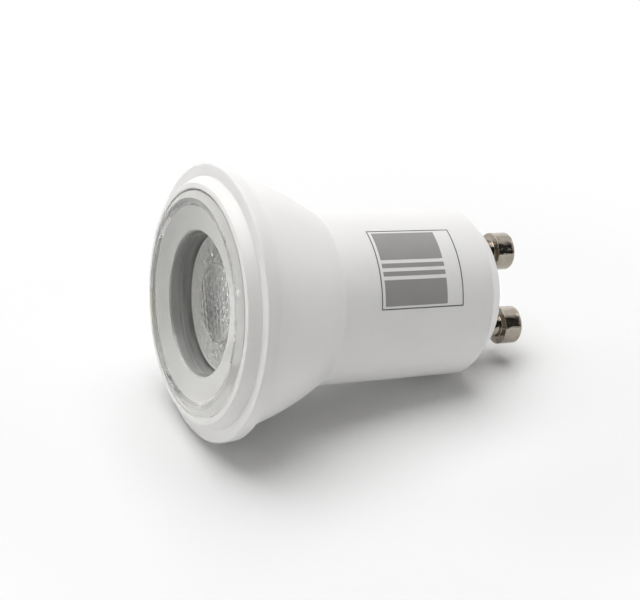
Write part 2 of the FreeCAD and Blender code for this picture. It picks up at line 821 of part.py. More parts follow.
def inductor_winding():
    """The copper coil between the drum's flanges, one solid of its outer form."""
    s = size
    length = s.drum_length - s.drum_flange * 2
    outer = cylinder("CoilOuter", s.drum_radius - s.winding_depth, length)
    inner = cylinder("CoilInner", s.hub_radius, length)
    for item in (outer, inner):
        place(item, face_x + s.drum_flange, 0, drum_z, ALONG_X)
    return cut("inductor_winding", outer, inner)


def input_capacitor():
    """A moulded box with bevelled edges on the side away from the board."""
    s = size
    body = new_body("input_capacitor")
    top_x = back_x - s.film_height
    case = new_sketch(body, "FilmCase", "XY_Plane", third_row_z)
    draw_rectangle(case, top_x, -s.film_width / 2, back_x, s.film_width / 2)
    pad(body, case, s.film_length)
    return dress_edges(body, "Chamfer", lambda box: abs(box.XMax - top_x.number) < TOUCH,
                       Size=s.film_edge)


def legs_beside(case_y, case_width, width, heights):
    """Legs on both sides of a case, each as far into it as it reaches out."""
    s = size
    legs = []
    for y in (case_y, case_y + case_width):
        for z in heights:
            leg = box("Leg", s.gull_thickness * 2, s.gull_reach * 2, width)
            place(leg, back_x - s.gull_thickness * 2, y - s.gull_reach, z)
            legs.append(leg)
    return legs


def bridge_rectifier():
    """A four-leg moulded rectifier."""
    s = size
    y = -(s.bridge_offset + s.bridge_width)
    case = box("BridgeCase", s.bridge_height - s.gull_thickness, s.bridge_width, s.bridge_length)
    place(case, back_x - s.bridge_height, y, second_row_z)
    far_leg = s.bridge_length - s.bridge_leg_inset - s.bridge_leg
    heights = [second_row_z + s.bridge_leg_inset, second_row_z + far_leg]
    legs = legs_beside(y, s.bridge_width, s.bridge_leg, heights)
    return fuse("bridge_rectifier", [case] + legs)


def driver_chip():
    """An eight-leg chip; each side's legs are a row at one pitch."""
    s = size
    case = box("ChipCase", s.chip_height - s.gull_thickness, s.chip_width, s.chip_length)
    place(case, back_x - s.chip_height, s.chip_offset, second_row_z)
    row = s.gull_pitch * (GULLS_PER_SIDE - 1) + s.gull_width
    first = second_row_z + (s.chip_length - row) / 2
    heights = [first + s.gull_pitch * number for number in range(GULLS_PER_SIDE)]
    legs = legs_beside(s.chip_offset, s.chip_width, s.gull_width, heights)
    return fuse("driver_chip", [case] + legs)


def fusible_resistor():
    """An axial resistor beside the film capacitor, its leads bent to the board."""
    s = size
    axis_x = back_x - s.fuse_radius
    y = s.film_width / 2 + s.fuse_gap + s.fuse_radius
    near_z = third_row_z - s.lead_length
    far_z = third_row_z + s.fuse_length + s.lead_length
    barrel = cylinder("FuseBarrel", s.fuse_radius, s.fuse_length)
    place(barrel, axis_x, y, third_row_z)
    lead = bent_wire("FuseLead", s.lead_radius, point_at(back_x, y, near_z), [
        (point_at(axis_x, y, near_z), s.lead_bend),
        (point_at(axis_x, y, far_z), s.lead_bend),
    ], point_at(back_x, y, far_z))
    return fuse("fusible_resistor", [barrel, lead])


def chip_resistors():
    """A row of small resistors across the board, near its front edge."""
    s = size
    first = -(s.smd_pitch * (SMD_COUNT - 1) + s.smd_width) / 2
    row = []
    for number in range(SMD_COUNT):
        item = box("ChipResistor", s.smd_height, s.smd_width, s.smd_length)
        place(item, back_x - s.smd_height, first + s.smd_pitch * number, first_row_z)
        row.append(item)
    return group("chip_resistors", row)


PIECES = [
    front_ring(), body_shell(), base_cap(), lens(),
    heat_sink(), thermal_pad(), led_board(), led_emitter(), board_screws(),
    led_wire("led_wire_red", 1), led_wire("led_wire_black", -1),
    driver_board(), output_capacitor(), inductor_core(), inductor_winding(),
    input_capacitor(), bridge_rectifier(), driver_chip(), fusible_resistor(), chip_resistors(),
    pin("pin_left", -1), pin("pin_right", 1),
    pin_wire("pin_wire_left", -1), pin_wire("pin_wire_right", 1),
]


def check_and_export():
    """Stop on any failed object or bad shape, then write one file for each piece."""
    doc.recompute()
    for item in doc.Objects:
        if "Invalid" in item.State or "Error" in item.State:
            raise ValueError(f"{item.Label}: {item.State}")
    os.makedirs("parts", exist_ok=True)
    for piece in PIECES:
        shape = piece.Shape
        if shape.isNull() or not shape.isValid() or not shape.Solids:
            raise ValueError(f"{piece.Label}: the shape is not valid")
        shape.exportStep(os.path.join("parts", piece.Label + ".step"))
        print(f"{piece.Label:18s} solids {len(shape.Solids)} volume {shape.Volume:9.2f} mm3")


check_and_export()
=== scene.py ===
import math

import bmesh
import bpy
from mathutils import Matrix, Vector


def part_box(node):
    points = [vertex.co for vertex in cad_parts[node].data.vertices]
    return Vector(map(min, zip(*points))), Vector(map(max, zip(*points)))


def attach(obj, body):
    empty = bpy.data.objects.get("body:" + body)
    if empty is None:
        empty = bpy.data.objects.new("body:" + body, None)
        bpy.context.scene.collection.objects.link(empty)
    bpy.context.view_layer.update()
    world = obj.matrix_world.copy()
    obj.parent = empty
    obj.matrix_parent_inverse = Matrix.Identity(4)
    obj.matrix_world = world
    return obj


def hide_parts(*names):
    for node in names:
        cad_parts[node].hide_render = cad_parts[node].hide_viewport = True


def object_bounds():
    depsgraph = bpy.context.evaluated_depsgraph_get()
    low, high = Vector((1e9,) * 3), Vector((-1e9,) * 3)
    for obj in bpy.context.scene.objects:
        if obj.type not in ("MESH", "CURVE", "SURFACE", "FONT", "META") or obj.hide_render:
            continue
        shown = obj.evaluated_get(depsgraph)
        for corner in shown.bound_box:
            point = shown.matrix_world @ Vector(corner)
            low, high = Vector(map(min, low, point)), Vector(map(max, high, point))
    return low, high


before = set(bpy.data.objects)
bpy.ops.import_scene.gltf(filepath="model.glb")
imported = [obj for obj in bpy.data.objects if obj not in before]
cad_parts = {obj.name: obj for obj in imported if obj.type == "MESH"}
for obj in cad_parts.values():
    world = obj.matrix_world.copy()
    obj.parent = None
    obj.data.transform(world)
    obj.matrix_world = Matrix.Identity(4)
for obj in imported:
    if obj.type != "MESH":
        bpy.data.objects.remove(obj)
cad_low, cad_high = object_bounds()
scene = bpy.context.scene
scene.view_settings.view_transform = "Standard"

MM = 0.001


def node_box(node):
    """Lowest and highest corner of a CAD node, in millimetres."""
    low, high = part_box(node)
    return low / MM, high / MM


print("the lamp is", [round(edge / MM, 1) for edge in cad_high - cad_low], "mm")

# %% [markdown]
# The photograph shows the lamp lying on a table, with its rim and the back of its neck on it.
# The CAD model stands instead, so the table of the picture is a slanted plane here. Three
# directions describe it: up from the table, to the right in the picture, and away from the
# camera along the table. Everything in the studio is placed with them.
# %% Directions of the studio
TABLE_UP = Vector((0.5305, -0.8259, -0.1909)).normalized()
PICTURE_RIGHT = Vector((0.4576, 0.0895, 0.8847)).normalized()
AWAY = TABLE_UP.cross(PICTURE_RIGHT)
LAMP_MIDDLE = Vector((0, 0, 0.5 * (cad_low.z + cad_high.z)))
print("camera side of the lamp:", [round(part, 2) for part in -AWAY])

# %% [markdown]
# The camera looks down on the table at 30 degrees. Its place and its direction were found from
# the outlines of the rim, the neck and the pins, whose real sizes are known.
# %% Camera
CAMERA_PLACE = Vector((215.59, 17.25, -95.22)) * MM
CAMERA_FORWARD = Vector((-0.8832, -0.0693, 0.4638)).normalized()
CAMERA_UP = Vector((0.1028, -0.9936, 0.0473))
FOCAL_PX = 1901.7
PICTURE_WIDTH_PX = 640
SENSOR_MM = 36.0
CLIP_START_MM = 10


def make_camera():
    """A camera at the photograph's place, from its forward and up directions."""
    data = bpy.data.cameras.new("camera")
    data.sensor_width = SENSOR_MM
    data.lens = FOCAL_PX / PICTURE_WIDTH_PX * SENSOR_MM
    data.clip_start = CLIP_START_MM * MM
    camera = bpy.data.objects.new("camera", data)
    scene.collection.objects.link(camera)
    right = CAMERA_FORWARD.cross(CAMERA_UP).normalized()
    up = right.cross(CAMERA_FORWARD)
    turn = Matrix((right, up, -CAMERA_FORWARD)).transposed()
    camera.matrix_world = Matrix.Translation(CAMERA_PLACE) @ turn.to_4x4()
    scene.camera = camera
    return camera


print("lens of", round(make_camera().data.lens, 1), "mm")

# %% [markdown]
# A shader is a graph of nodes. One helper adds a node, fills its settings and inputs, and links
# whatever is itself an output of another node, so that each material reads as a short list.
# Colours are written as hex codes, as on a paint chart, and turned to the linear values that
# the renderer works with.
# %% Material helpers
def linear(hex_colour):
    """An sRGB hex colour as a linear RGBA value."""
    parts = [int(hex_colour[i:i + 2], 16) / 255 for i in (1, 3, 5)]
    return [c / 12.92 if c <= 0.04045 else ((c + 0.055) / 1.055) ** 2.4 for c in parts] + [1.0]


def add(tree, kind, inputs=None, **settings):
    """Add a node; an input's value is a plain value or another node's output to link."""
    node = tree.nodes.new(kind)
    for name, value in settings.items():
        setattr(node, name, value)
    for name, value in (inputs or {}).items():
        if isinstance(value, bpy.types.NodeSocket):
            tree.links.new(value, node.inputs[name])
        else:
            node.inputs[name].default_value = value
    return node


def new_material(name):
    """A material without any node, and its tree."""
    material = bpy.data.materials.new(name)
    material.use_nodes = True
    material.node_tree.nodes.clear()
    return material, material.node_tree


def per_mm(size_mm):
    """Scale of a pattern on Object coordinates whose features measure size_mm."""
    return 1 / (size_mm * MM)


print("a mid grey is", round(linear("#808080")[0], 3), "linear")

# %% [markdown]
# Many small parts have a finish that is one colour with a slight cloudiness and a fine grain:
# moulded epoxy, silicone, paint. One recipe serves them all. Two near colours are mixed by a
# soft noise, and a finer noise gives the bump and a little change of roughness.
# %% Recipe for grained finishes
ROUGHNESS_SPREAD = 0.2


def grained(name, colour, other_colour, grain_mm, depth_mm, roughness, stretch=(1, 1, 1),
            cloud_mm=4.0, **more):
    """A finish of two near colours with a grain of a real size and depth."""
    material, tree = new_material(name)
    place = add(tree, "ShaderNodeTexCoord").outputs["Object"]
    along = add(tree, "ShaderNodeMapping", {"Vector": place, "Scale": stretch}).outputs["Vector"]
    cloud = add(tree, "ShaderNodeTexNoise", {"Vector": place, "Scale": per_mm(cloud_mm)})
    grain = add(tree, "ShaderNodeTexNoise", {"Vector": along, "Scale": per_mm(grain_mm),
                                             "Detail": 3.0})
    mixed = add(tree, "ShaderNodeMix", {"Factor": cloud.outputs["Fac"], "A": linear(colour),
                                        "B": linear(other_colour)}, data_type="RGBA")
    rough = add(tree, "ShaderNodeMapRange", {"Value": grain.outputs["Fac"],
                                             "To Min": roughness * (1 - ROUGHNESS_SPREAD),
                                             "To Max": roughness * (1 + ROUGHNESS_SPREAD)})
    bump = add(tree, "ShaderNodeBump", {"Height": grain.outputs["Fac"],
                                        "Distance": depth_mm * MM})
    settings = {"Base Color": mixed.outputs[2], "Roughness": rough.outputs["Result"],
                "Normal": bump.outputs["Normal"], **more}
    shader = add(tree, "ShaderNodeBsdfPrincipled", settings)
    add(tree, "ShaderNodeOutputMaterial", {"Surface": shader.outputs["BSDF"]})
    return material


print("grain changes the roughness by", ROUGHNESS_SPREAD, "of it")

# %% [markdown]
# The housing is glass-filled PBT, a tough white plastic, injection moulded in a finely eroded
# mould. The eye sees a clean white with a satin sheen that is a little uneven. The real grain is
# finer than here, where it is as coarse as it needs to be to show.
# %% White PBT
white_pbt = grained("white_pbt_moulded", "#F0EFED", "#ECEBE9", grain_mm=0.12, depth_mm=0.004,
                    roughness=0.36, IOR=1.52)
print("white PBT takes", len(white_pbt.node_tree.nodes), "nodes")

# %% [markdown]
# The pins are brass with a thin nickel plating, a metal with a warm grey tint. They are tumbled
# in bulk, which leaves shallow dents, so their reflections are a little broken. The heat sink is
# spun on a lathe and then etched, which turns it pale and matt. Its grain runs round it, so the
# noise is drawn out along the surface and stays short along the axis.
# %% Nickel plating and other metals
DRAWN_ROUND = (0.02, 0.02, 1.0)
# A warm grey mirror with soft dents.
nickel = grained("nickel_plated_brass", "#B5ADA1", "#8E857A", grain_mm=0.8, depth_mm=0.06,
                 roughness=0.12, stretch=(1, 1, 0.6), cloud_mm=1.2, Metallic=1.0)
# Pale and matt, with faint rings.
aluminium = grained("spun_aluminium_etched", "#EAE9E7", "#DEDDDB", grain_mm=0.25, depth_mm=0.006,
                    roughness=0.7, stretch=DRAWN_ROUND, Metallic=1.0)
# A cool and slightly cloudy shine.
zinc = grained("zinc_plated_steel", "#C6C9CC", "#B4B7BB", grain_mm=0.2, depth_mm=0.003,
               roughness=0.3, Metallic=1.0)
# A reddish shine under clear enamel.
copper = grained("enamelled_copper", "#B8683C", "#A0522C", grain_mm=0.3, depth_mm=0.01,
                 roughness=0.3, Metallic=1.0)
print("metals:", nickel.name, aluminium.name, zinc.name, copper.name)

# %% [markdown]
# Inside the housing are the finishes of electronics: solder mask over glass fibre, silicone,
# moulded epoxy, sleeves and ceramic. They differ in colour, in grain and in sheen.
# %% Finishes of the electronics
# A white board with a soft shine.
white_mask = grained("white_solder_mask", "#EEEEEA", "#E4E4DF", grain_mm=0.4, depth_mm=0.004,
                     roughness=0.4)
# Pale yellow and rubbery.
phosphor = grained("phosphor_in_silicone", "#E8E0B4", "#E2D8A2", grain_mm=0.15, depth_mm=0.01,
                   roughness=0.5)
# Off-white, hard and fine.
led_ceramic = grained("led_ceramic", "#EDEBE4", "#E3E0D8", grain_mm=0.1, depth_mm=0.004,
                      roughness=0.45)
# A dull grey rubber.
grey_silicone = grained("grey_silicone_pad", "#7E8388", "#74797E", grain_mm=0.3, depth_mm=0.02,
                        roughness=0.7)
# Deep green with a soft gloss.
green_board = grained("green_solder_mask", "#1E6B3A", "#185A30", grain_mm=0.5, depth_mm=0.01,
                      roughness=0.35)
# The sleeves of the wires are soft rubber with a dull shine.
red_sleeve = grained("red_silicone", "#A81E18", "#971A15", grain_mm=0.3, depth_mm=0.01,
                     roughness=0.5)
black_sleeve = grained("black_silicone", "#1B1B1C", "#232324", grain_mm=0.3, depth_mm=0.01,
                       roughness=0.5)
white_sleeve = grained("white_silicone", "#E2E1DC", "#D6D5D0", grain_mm=0.3, depth_mm=0.01,
                       roughness=0.5)
# The capacitors have a glossy yellow box and a black film shrunk over a can.
yellow_case = grained("polyester_case", "#D9A722", "#CC9A1C", grain_mm=0.4, depth_mm=0.01,
                      roughness=0.3)
can_sleeve = grained("shrunk_pvc_sleeve", "#1C1E24", "#25272E", grain_mm=0.6, depth_mm=0.01,
                     roughness=0.25)
# Dark grey, dry and stony.
ferrite = grained("pressed_ferrite", "#3A3A3B", "#2E2E2F", grain_mm=0.15, depth_mm=0.02,
                  roughness=0.6)
# Black and finely eroded.
epoxy = grained("moulded_epoxy", "#1E1E1F", "#262627", grain_mm=0.08, depth_mm=0.01,
                roughness=0.55)
# A chalky grey-green coat.
resistor_coat = grained("cement_coat", "#6E8A74", "#627C68", grain_mm=0.1, depth_mm=0.02,
                        roughness=0.6)
# Nearly black under a thin glaze.
ceramic = grained("glazed_ceramic", "#26282B", "#303236", grain_mm=0.2, depth_mm=0.004,
                  roughness=0.25)
print(len(bpy.data.materials), "materials with the CAD model's own")

# %% [markdown]
# A CAD node comes as loose flat triangles, so a round wire would look faceted. A copy of the
# mesh with its doubles merged can be shaded smooth, with real edges kept sharp by their angle.
# The copy then stands for the node.
# %% Smooth copies of CAD nodes
SHARP_ANGLE = math.radians(32)
MERGE_MM = 1e-3


def shade(mesh):
    """Smooth shading with sharp edges where the surface turns by more than the angle."""
    mesh.polygons.foreach_set("use_smooth", [True] * len(mesh.polygons))
    mesh.set_sharp_from_angle(angle=SHARP_ANGLE)


def add_piece(name, mesh, material, slot, *nodes):
    """Put a finished mesh in the scene, on the lamp's one body, in place of its CAD nodes."""
    mesh.materials.clear()
    mesh.materials.append(material)
    piece = bpy.data.objects.new(name, mesh)
    scene.collection.objects.link(piece)
    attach(piece, "root")
    if nodes:
        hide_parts(*nodes)


def smooth_copy(node, material, slot):
    """Put a copy of a CAD node in the scene, its doubles merged and its curves smooth."""
    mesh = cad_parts[node].data.copy()
    shape = bmesh.new()
    shape.from_mesh(mesh)
    bmesh.ops.remove_doubles(shape, verts=shape.verts, dist=MERGE_MM * MM)
    shape.to_mesh(mesh)
    shape.free()
    shade(mesh)
    add_piece("smooth_" + node, mesh, material, slot, node)


# For each node inside, its finish and the record's material slot.
INNER_FINISHES = {
    "heat_sink": (aluminium, "spun_aluminium"),
    "thermal_pad": (grey_silicone, "grey_silicone"),
    "led_board": (white_mask, "led_board_white"),
    "board_screws": (zinc, "zinc_screw"),
    "led_wire_red": (red_sleeve, "red_sleeve"),
    "led_wire_black": (black_sleeve, "black_sleeve"),
    "pin_wire_left": (white_sleeve, "white_sleeve"),
    "pin_wire_right": (white_sleeve, "white_sleeve"),
    "driver_board": (green_board, "green_board"),
    "input_capacitor": (yellow_case, "yellow_case"),
    "output_capacitor": (can_sleeve, "can_sleeve"),
    "inductor_core": (ferrite, "ferrite"),
    "inductor_winding": (copper, "copper_wire"),
    "bridge_rectifier": (epoxy, "black_epoxy"),
    "driver_chip": (epoxy, "black_epoxy"),
    "fusible_resistor": (resistor_coat, "resistor_coat"),
    "chip_resistors": (ceramic, "chip_ceramic"),
}
for node, (material, slot) in INNER_FINISHES.items():
    smooth_copy(node, material, slot)
print(len(INNER_FINISHES), "inner pieces")

# %% [markdown]
# The ring, the housing, the base, the lens and the pins are all turned shapes: an outline that
# goes once round the axis. Real moulded edges are never knife sharp, and a soft edge catches a
# thin line of light. So an outline here is a list of corners, each with its own rounding, and
# an edge may be bowed to an arc. The outline becomes points first, and the points are then
# turned into a closed mesh.
# %% Turned shapes
STEPS_ROUND = 192
ARC_STEP_MM = 0.6
CORNER_STEPS = 5
MOST_OF_EDGE = 0.45
ON_AXIS_MM = 1e-6


def corner(radius, height, rounding=0.0, bow=0.0):
    """A corner in mm; bow is the arc radius of the edge after it, negative to the right."""
    return Vector((radius, height)), rounding, bow


def bowed(start, stop, radius):
    """The inner points of an arc from start to stop."""
    chord = stop - start
    left = Vector((-chord.y, chord.x)).normalized() * math.copysign(1, radius)
    drop = math.sqrt(radius * radius - chord.length_squared / 4)
    centre = start + chord / 2 - left * drop
    first, last = start - centre, stop - centre
    sweep = first.angle_signed(last)
    steps = max(2, round(abs(radius * sweep) / ARC_STEP_MM))
    return [centre + Matrix.Rotation(-sweep * i / steps, 2) @ first for i in range(1, steps)]


def rounded(before, point, after, rounding):
    """The points of a curve that rounds one corner, and takes less than half of an edge."""
    into, out = (point - before).normalized(), (after - point).normalized()
    turn = into.angle(out)
    reach = rounding * math.tan(turn / 2)
    reach = min(reach, MOST_OF_EDGE * (point - before).length,
                MOST_OF_EDGE * (after - point).length)
    start, stop = point - into * reach, point + out * reach
    middle = []
    for step in range(CORNER_STEPS + 1):
        share = step / CORNER_STEPS
        middle.append(start.lerp(point, share).lerp(point.lerp(stop, share), share))
    return middle


def outline(corners):
    """The points of a closed outline, with its arcs and its rounded corners."""
    points = []
    for (here, rounding, bow), (there, _, _) in zip(corners, corners[1:] + corners[:1]):
        points.append((here, rounding))
        if bow:
            points += [(point, 0.0) for point in bowed(here, there, bow)]
    line = []
    for number, (point, rounding) in enumerate(points):
        if rounding:
            before, after = points[number - 1][0], points[(number + 1) % len(points)][0]
            line += rounded(before, point, after, rounding)
        else:
            line.append(point)
    return line


def turned(line, centre=(0.0, 0.0)):
    """A closed mesh in metres from an outline in mm, turned about an upright axis."""
    shape = bmesh.new()
    rings = []
    for point in line:
        if point.x < ON_AXIS_MM:
            at = (centre[0] * MM, centre[1] * MM, point.y * MM)
            rings.append([shape.verts.new(at)] * STEPS_ROUND)
            continue
        ring = []
        for step in range(STEPS_ROUND):
            angle = 2 * math.pi * step / STEPS_ROUND
            ring.append(shape.verts.new(((centre[0] + point.x * math.cos(angle)) * MM,
                                         (centre[1] + point.x * math.sin(angle)) * MM,
                                         point.y * MM)))
        rings.append(ring)
    for ring, after in zip(rings, rings[1:] + rings[:1]):
        for step in range(STEPS_ROUND):
            there = (step + 1) % STEPS_ROUND
            face = []
            for vert in (ring[step], ring[there], after[there], after[step]):
                if vert not in face:
                    face.append(vert)
            if len(face) > 2:
                shape.faces.new(face)
    bmesh.ops.recalc_face_normals(shape, faces=shape.faces)
    mesh = bpy.data.meshes.new("turned")
    shape.to_mesh(mesh)
    shape.free()
    shade(mesh)
    return mesh


def even_normals(mesh):
    """Let large flat faces keep their own direction beside small rounded ones."""
    carrier = bpy.data.objects.new("carrier", mesh)
    scene.collection.objects.link(carrier)
    weighted = carrier.modifiers.new("weighted", "WEIGHTED_NORMAL")
    weighted.keep_sharp = True
    plain = bpy.data.meshes.new_from_object(carrier.evaluated_get(
        bpy.context.evaluated_depsgraph_get()))
    bpy.data.objects.remove(carrier)
    return plain


print("turned shapes have", STEPS_ROUND, "faces round")

# %% [markdown]
# The front ring is the bezel that holds the lens. It has a flat lip round the lens, a steep face
# behind it, a flat band, and a short side wall. Its outer size comes from the CAD node.
# %% Front ring
GAP_MM = 0.05
ring_low, ring_high = node_box("front_ring")
shell_low, shell_high = node_box("body_shell")
cap_low, cap_high = node_box("base_cap")
lens_high = node_box("lens")[1]
RIM = round(ring_high.x, 2)
FLANGE = round(lens_high.x, 2)
LIP_Z = ring_low.z
MOUTH_Z = shell_low.z
SKIRT_OUTER, SKIRT_WALL, SNAP = 15.2, 0.55, 0.15
LENS_BODY = FLANGE - 0.4
RING_HOLE = LENS_BODY + 0.25
LIP_WIDTH, FACE_Z, BAND_WIDTH = 0.7, LIP_Z + 1.55, 1.6
LEDGE_Z = LIP_Z + 2.1
SNAP_Z = (MOUTH_Z + ring_high.z) / 2


def ring_outline():
    """Lip, steep face, flat band, side wall, and the skirt with its snap."""
    skirt_inner = SKIRT_OUTER - SKIRT_WALL
    return outline([
        corner(RING_HOLE, LIP_Z, 0.12),
        corner(RING_HOLE + LIP_WIDTH, LIP_Z + 0.1, 0.15),
        corner(RIM - BAND_WIDTH, FACE_Z, 0.06),
        corner(RIM, FACE_Z + 0.05, 0.33),
        corner(RIM - 0.1, MOUTH_Z, 0.1),
        corner(SKIRT_OUTER, MOUTH_Z),
        corner(SKIRT_OUTER, SNAP_Z - SNAP),
        corner(SKIRT_OUTER + SNAP, SNAP_Z),
        corner(SKIRT_OUTER, SNAP_Z + SNAP),
        corner(SKIRT_OUTER, ring_high.z),
        corner(skirt_inner, ring_high.z),
        corner(skirt_inner, LEDGE_Z),
        corner(RING_HOLE, LEDGE_Z),
    ])


add_piece("bezel_ring", even_normals(turned(ring_outline())), white_pbt, "white_shell",
          "front_ring")
print("rim radius", RIM, "lens radius", LENS_BODY)

# %% [markdown]
# The housing is one moulding: a flared cup round the lens and a neck with a slight taper, so
# that it leaves its mould. The corner between them is soft. Inside it has a step that the heat
# sink sits on.
# %% Housing
CUP_BOW = 34.5
NECK_Z = MOUTH_Z + 11.9
NECK_FRONT, NECK_WALL = 11.3, 1.1
NECK_BACK = round(cap_high.x, 2)
SEAT_Z = NECK_Z - 1.4
SEAT = NECK_FRONT - 0.5
CUP_INNER = SKIRT_OUTER - SKIRT_WALL + GAP_MM
RABBET_GAP = 0.1


def housing_outline():
    """The bowed cup and the neck outside, the step and the rabbet inside."""
    rabbet = SKIRT_OUTER + RABBET_GAP
    rabbet_z = ring_high.z + RABBET_GAP
    return outline([
        corner(shell_high.x, MOUTH_Z, 0.15, -CUP_BOW),
        corner(NECK_FRONT, NECK_Z, 0.6),
        corner(NECK_BACK, shell_high.z, 0.15),
        corner(NECK_BACK - NECK_WALL, shell_high.z),
        corner(NECK_FRONT - NECK_WALL, SEAT_Z),
        corner(SEAT, SEAT_Z, 0, CUP_BOW),
        corner(CUP_INNER, rabbet_z),
        corner(rabbet, rabbet_z),
        corner(rabbet, SNAP_Z + SNAP + RABBET_GAP),
        corner(rabbet + SNAP, SNAP_Z),
        corner(rabbet, SNAP_Z - SNAP - RABBET_GAP),
        corner(rabbet, MOUTH_Z),
    ])


add_piece("housing", even_normals(turned(housing_outline())), white_pbt, "white_shell",
          "body_shell")
print("neck radius", NECK_FRONT, "to", NECK_BACK, "mm")

# %% [markdown]
# The base is a plug with a bevelled end, pushed into the neck from behind. Two legs with a slot
# reach forward from its end wall and hold the driver board by its edges. A leg is an outline
# seen from the front, drawn out along the axis.
# %% Base
PLUG = NECK_BACK - NECK_WALL - GAP_MM
PLUG_INNER = PLUG - 1.0
END_Z = cap_high.z
WALL_Z = END_Z - 2.0
BEVEL = Vector((2.3, 2.6))
PLUG_START_Z = shell_high.z - 4.0
LEG_X = (-3.0, 0.0)
LEG_Y = (7.45, 8.65)
SLOT_X = (-2.05, -0.95)
SLOT_BOTTOM = 8.1
LEG_Z = cap_low.z
SLOT_END_Z = LEG_Z + 6.05


def prism(shape, points, low_z, high_z):
    """Draw an outline in mm out between two heights, as a closed shell."""
    low = [shape.verts.new((x * MM, y * MM, low_z * MM)) for x, y in points]
    high = [shape.verts.new((x * MM, y * MM, high_z * MM)) for x, y in points]
    faces = [shape.faces.new(low), shape.faces.new(high)]
    for i in range(len(points)):
        j = (i + 1) % len(points)
        faces.append(shape.faces.new((low[i], low[j], high[j], high[i])))
    bmesh.ops.recalc_face_normals(shape, faces=faces)


def add_legs(mesh):
    """Add the two slotted legs to the base's mesh, as closed shells of their own."""
    shape = bmesh.new()
    shape.from_mesh(mesh)
    (x0, x1), (y0, y1), (s0, s1) = LEG_X, LEG_Y, SLOT_X
    channel = [(x0, y0), (x0, y1), (x1, y1), (x1, y0), (s1, y0), (s1, SLOT_BOTTOM),
               (s0, SLOT_BOTTOM), (s0, y0)]
    root = [(x0, y0), (x0, y1), (x1, y1), (x1, y0)]
    for side in (1, -1):
        prism(shape, [(x, y * side) for x, y in channel], LEG_Z, SLOT_END_Z)
        prism(shape, [(x, y * side) for x, y in root], SLOT_END_Z, WALL_Z + GAP_MM)
    shape.to_mesh(mesh)
    shape.free()
    shade(mesh)
    return mesh


def base_outline():
    """The hollow plug and the bevelled end."""
    return outline([
        corner(0, WALL_Z),
        corner(PLUG_INNER, WALL_Z),
        corner(PLUG_INNER, PLUG_START_Z),
        corner(PLUG, PLUG_START_Z),
        corner(PLUG, shell_high.z),
        corner(NECK_BACK, shell_high.z, 0.15),
        corner(NECK_BACK - BEVEL.x, shell_high.z + BEVEL.y, 0.9),
        corner(0, END_Z),
    ])


add_piece("end_plug", even_normals(add_legs(turned(base_outline()))), white_pbt, "white_shell",
          "base_cap")
print("end face radius", round(NECK_BACK - BEVEL.x, 2), "mm")

# %% [markdown]
# Each pin is turned from one rod: a shank, and a thick head with a crisp edge on the side of
# the base and a rounded end. The head is what the holder's spring grips.
# %% Pins
PIN_HEAD = 2.5
PIN_SHANK = 1.5
HEAD_LENGTH = 2.6
END_ROUNDING = 0.6


def pin_outline(low_z, top_z):
    """The pin's outline; two plain rings keep the reflections in the head's side straight."""
    return outline([
        corner(0, top_z),
        corner(0, low_z),
        corner(PIN_SHANK, low_z, 0.1),
        corner(PIN_SHANK, top_z - HEAD_LENGTH, 0.12),
        corner(PIN_HEAD, top_z - HEAD_LENGTH, 0.12),
        corner(PIN_HEAD, top_z - HEAD_LENGTH + 0.15),
        corner(PIN_HEAD, top_z - END_ROUNDING - 0.05),
        corner(PIN_HEAD, top_z, END_ROUNDING),
    ])


for node in ("pin_left", "pin_right"):
    low, high = node_box(node)
    mesh = turned(pin_outline(low.z, high.z), centre=(0, (low.y + high.y) / 2))
    add_piece("turned_" + node, even_normals(mesh), nickel, "nickel", node)
    print(node, "at y", round((low.y + high.y) / 2, 2), "mm")

# %% [markdown]
# The lens is a collimator. Light from the LED enters a hollow at the back, the outer part is
# thrown forward by total reflection at the curved flank, and the middle part passes a disc of
# small lenses in a well. It is the piece that gives the lamp its look, so it is built with
# care: one closed body of clear acrylic, with a raised front edge.
# %% Lens body
BEAD_OUTER = LENS_BODY - 0.9
BEAD_INNER = BEAD_OUTER - 0.6
ANNULUS_OUTER = BEAD_INNER - 0.35
BEVEL_Z = 0.55
FLANGE_Z = LEDGE_Z + GAP_MM
FLANGE_BACK_Z = FLANGE_Z + 1.75
WELL_MOUTH, WELL_MOUTH_Z = 9.2, 0.95
WELL_FLOOR, WELL_FLOOR_Z = 8.8, 4.0
DISC, DISC_Z = 5.1, 3.5
FLANK_START = FLANGE - 1.3
FLANK_END, FLANK_END_Z, FLANK_BOW = 6.0, 10.3, 18.0
FOOT_Z, FOOT_WIDTH = lens_high.z, 1.0
CAVITY, CAVITY_TOP, CAVITY_DEPTH, DOME = 3.503, 3.203, 2.8, 0.9
DISC_RINGS = 48
DISC_FACE = DISC * 0.98


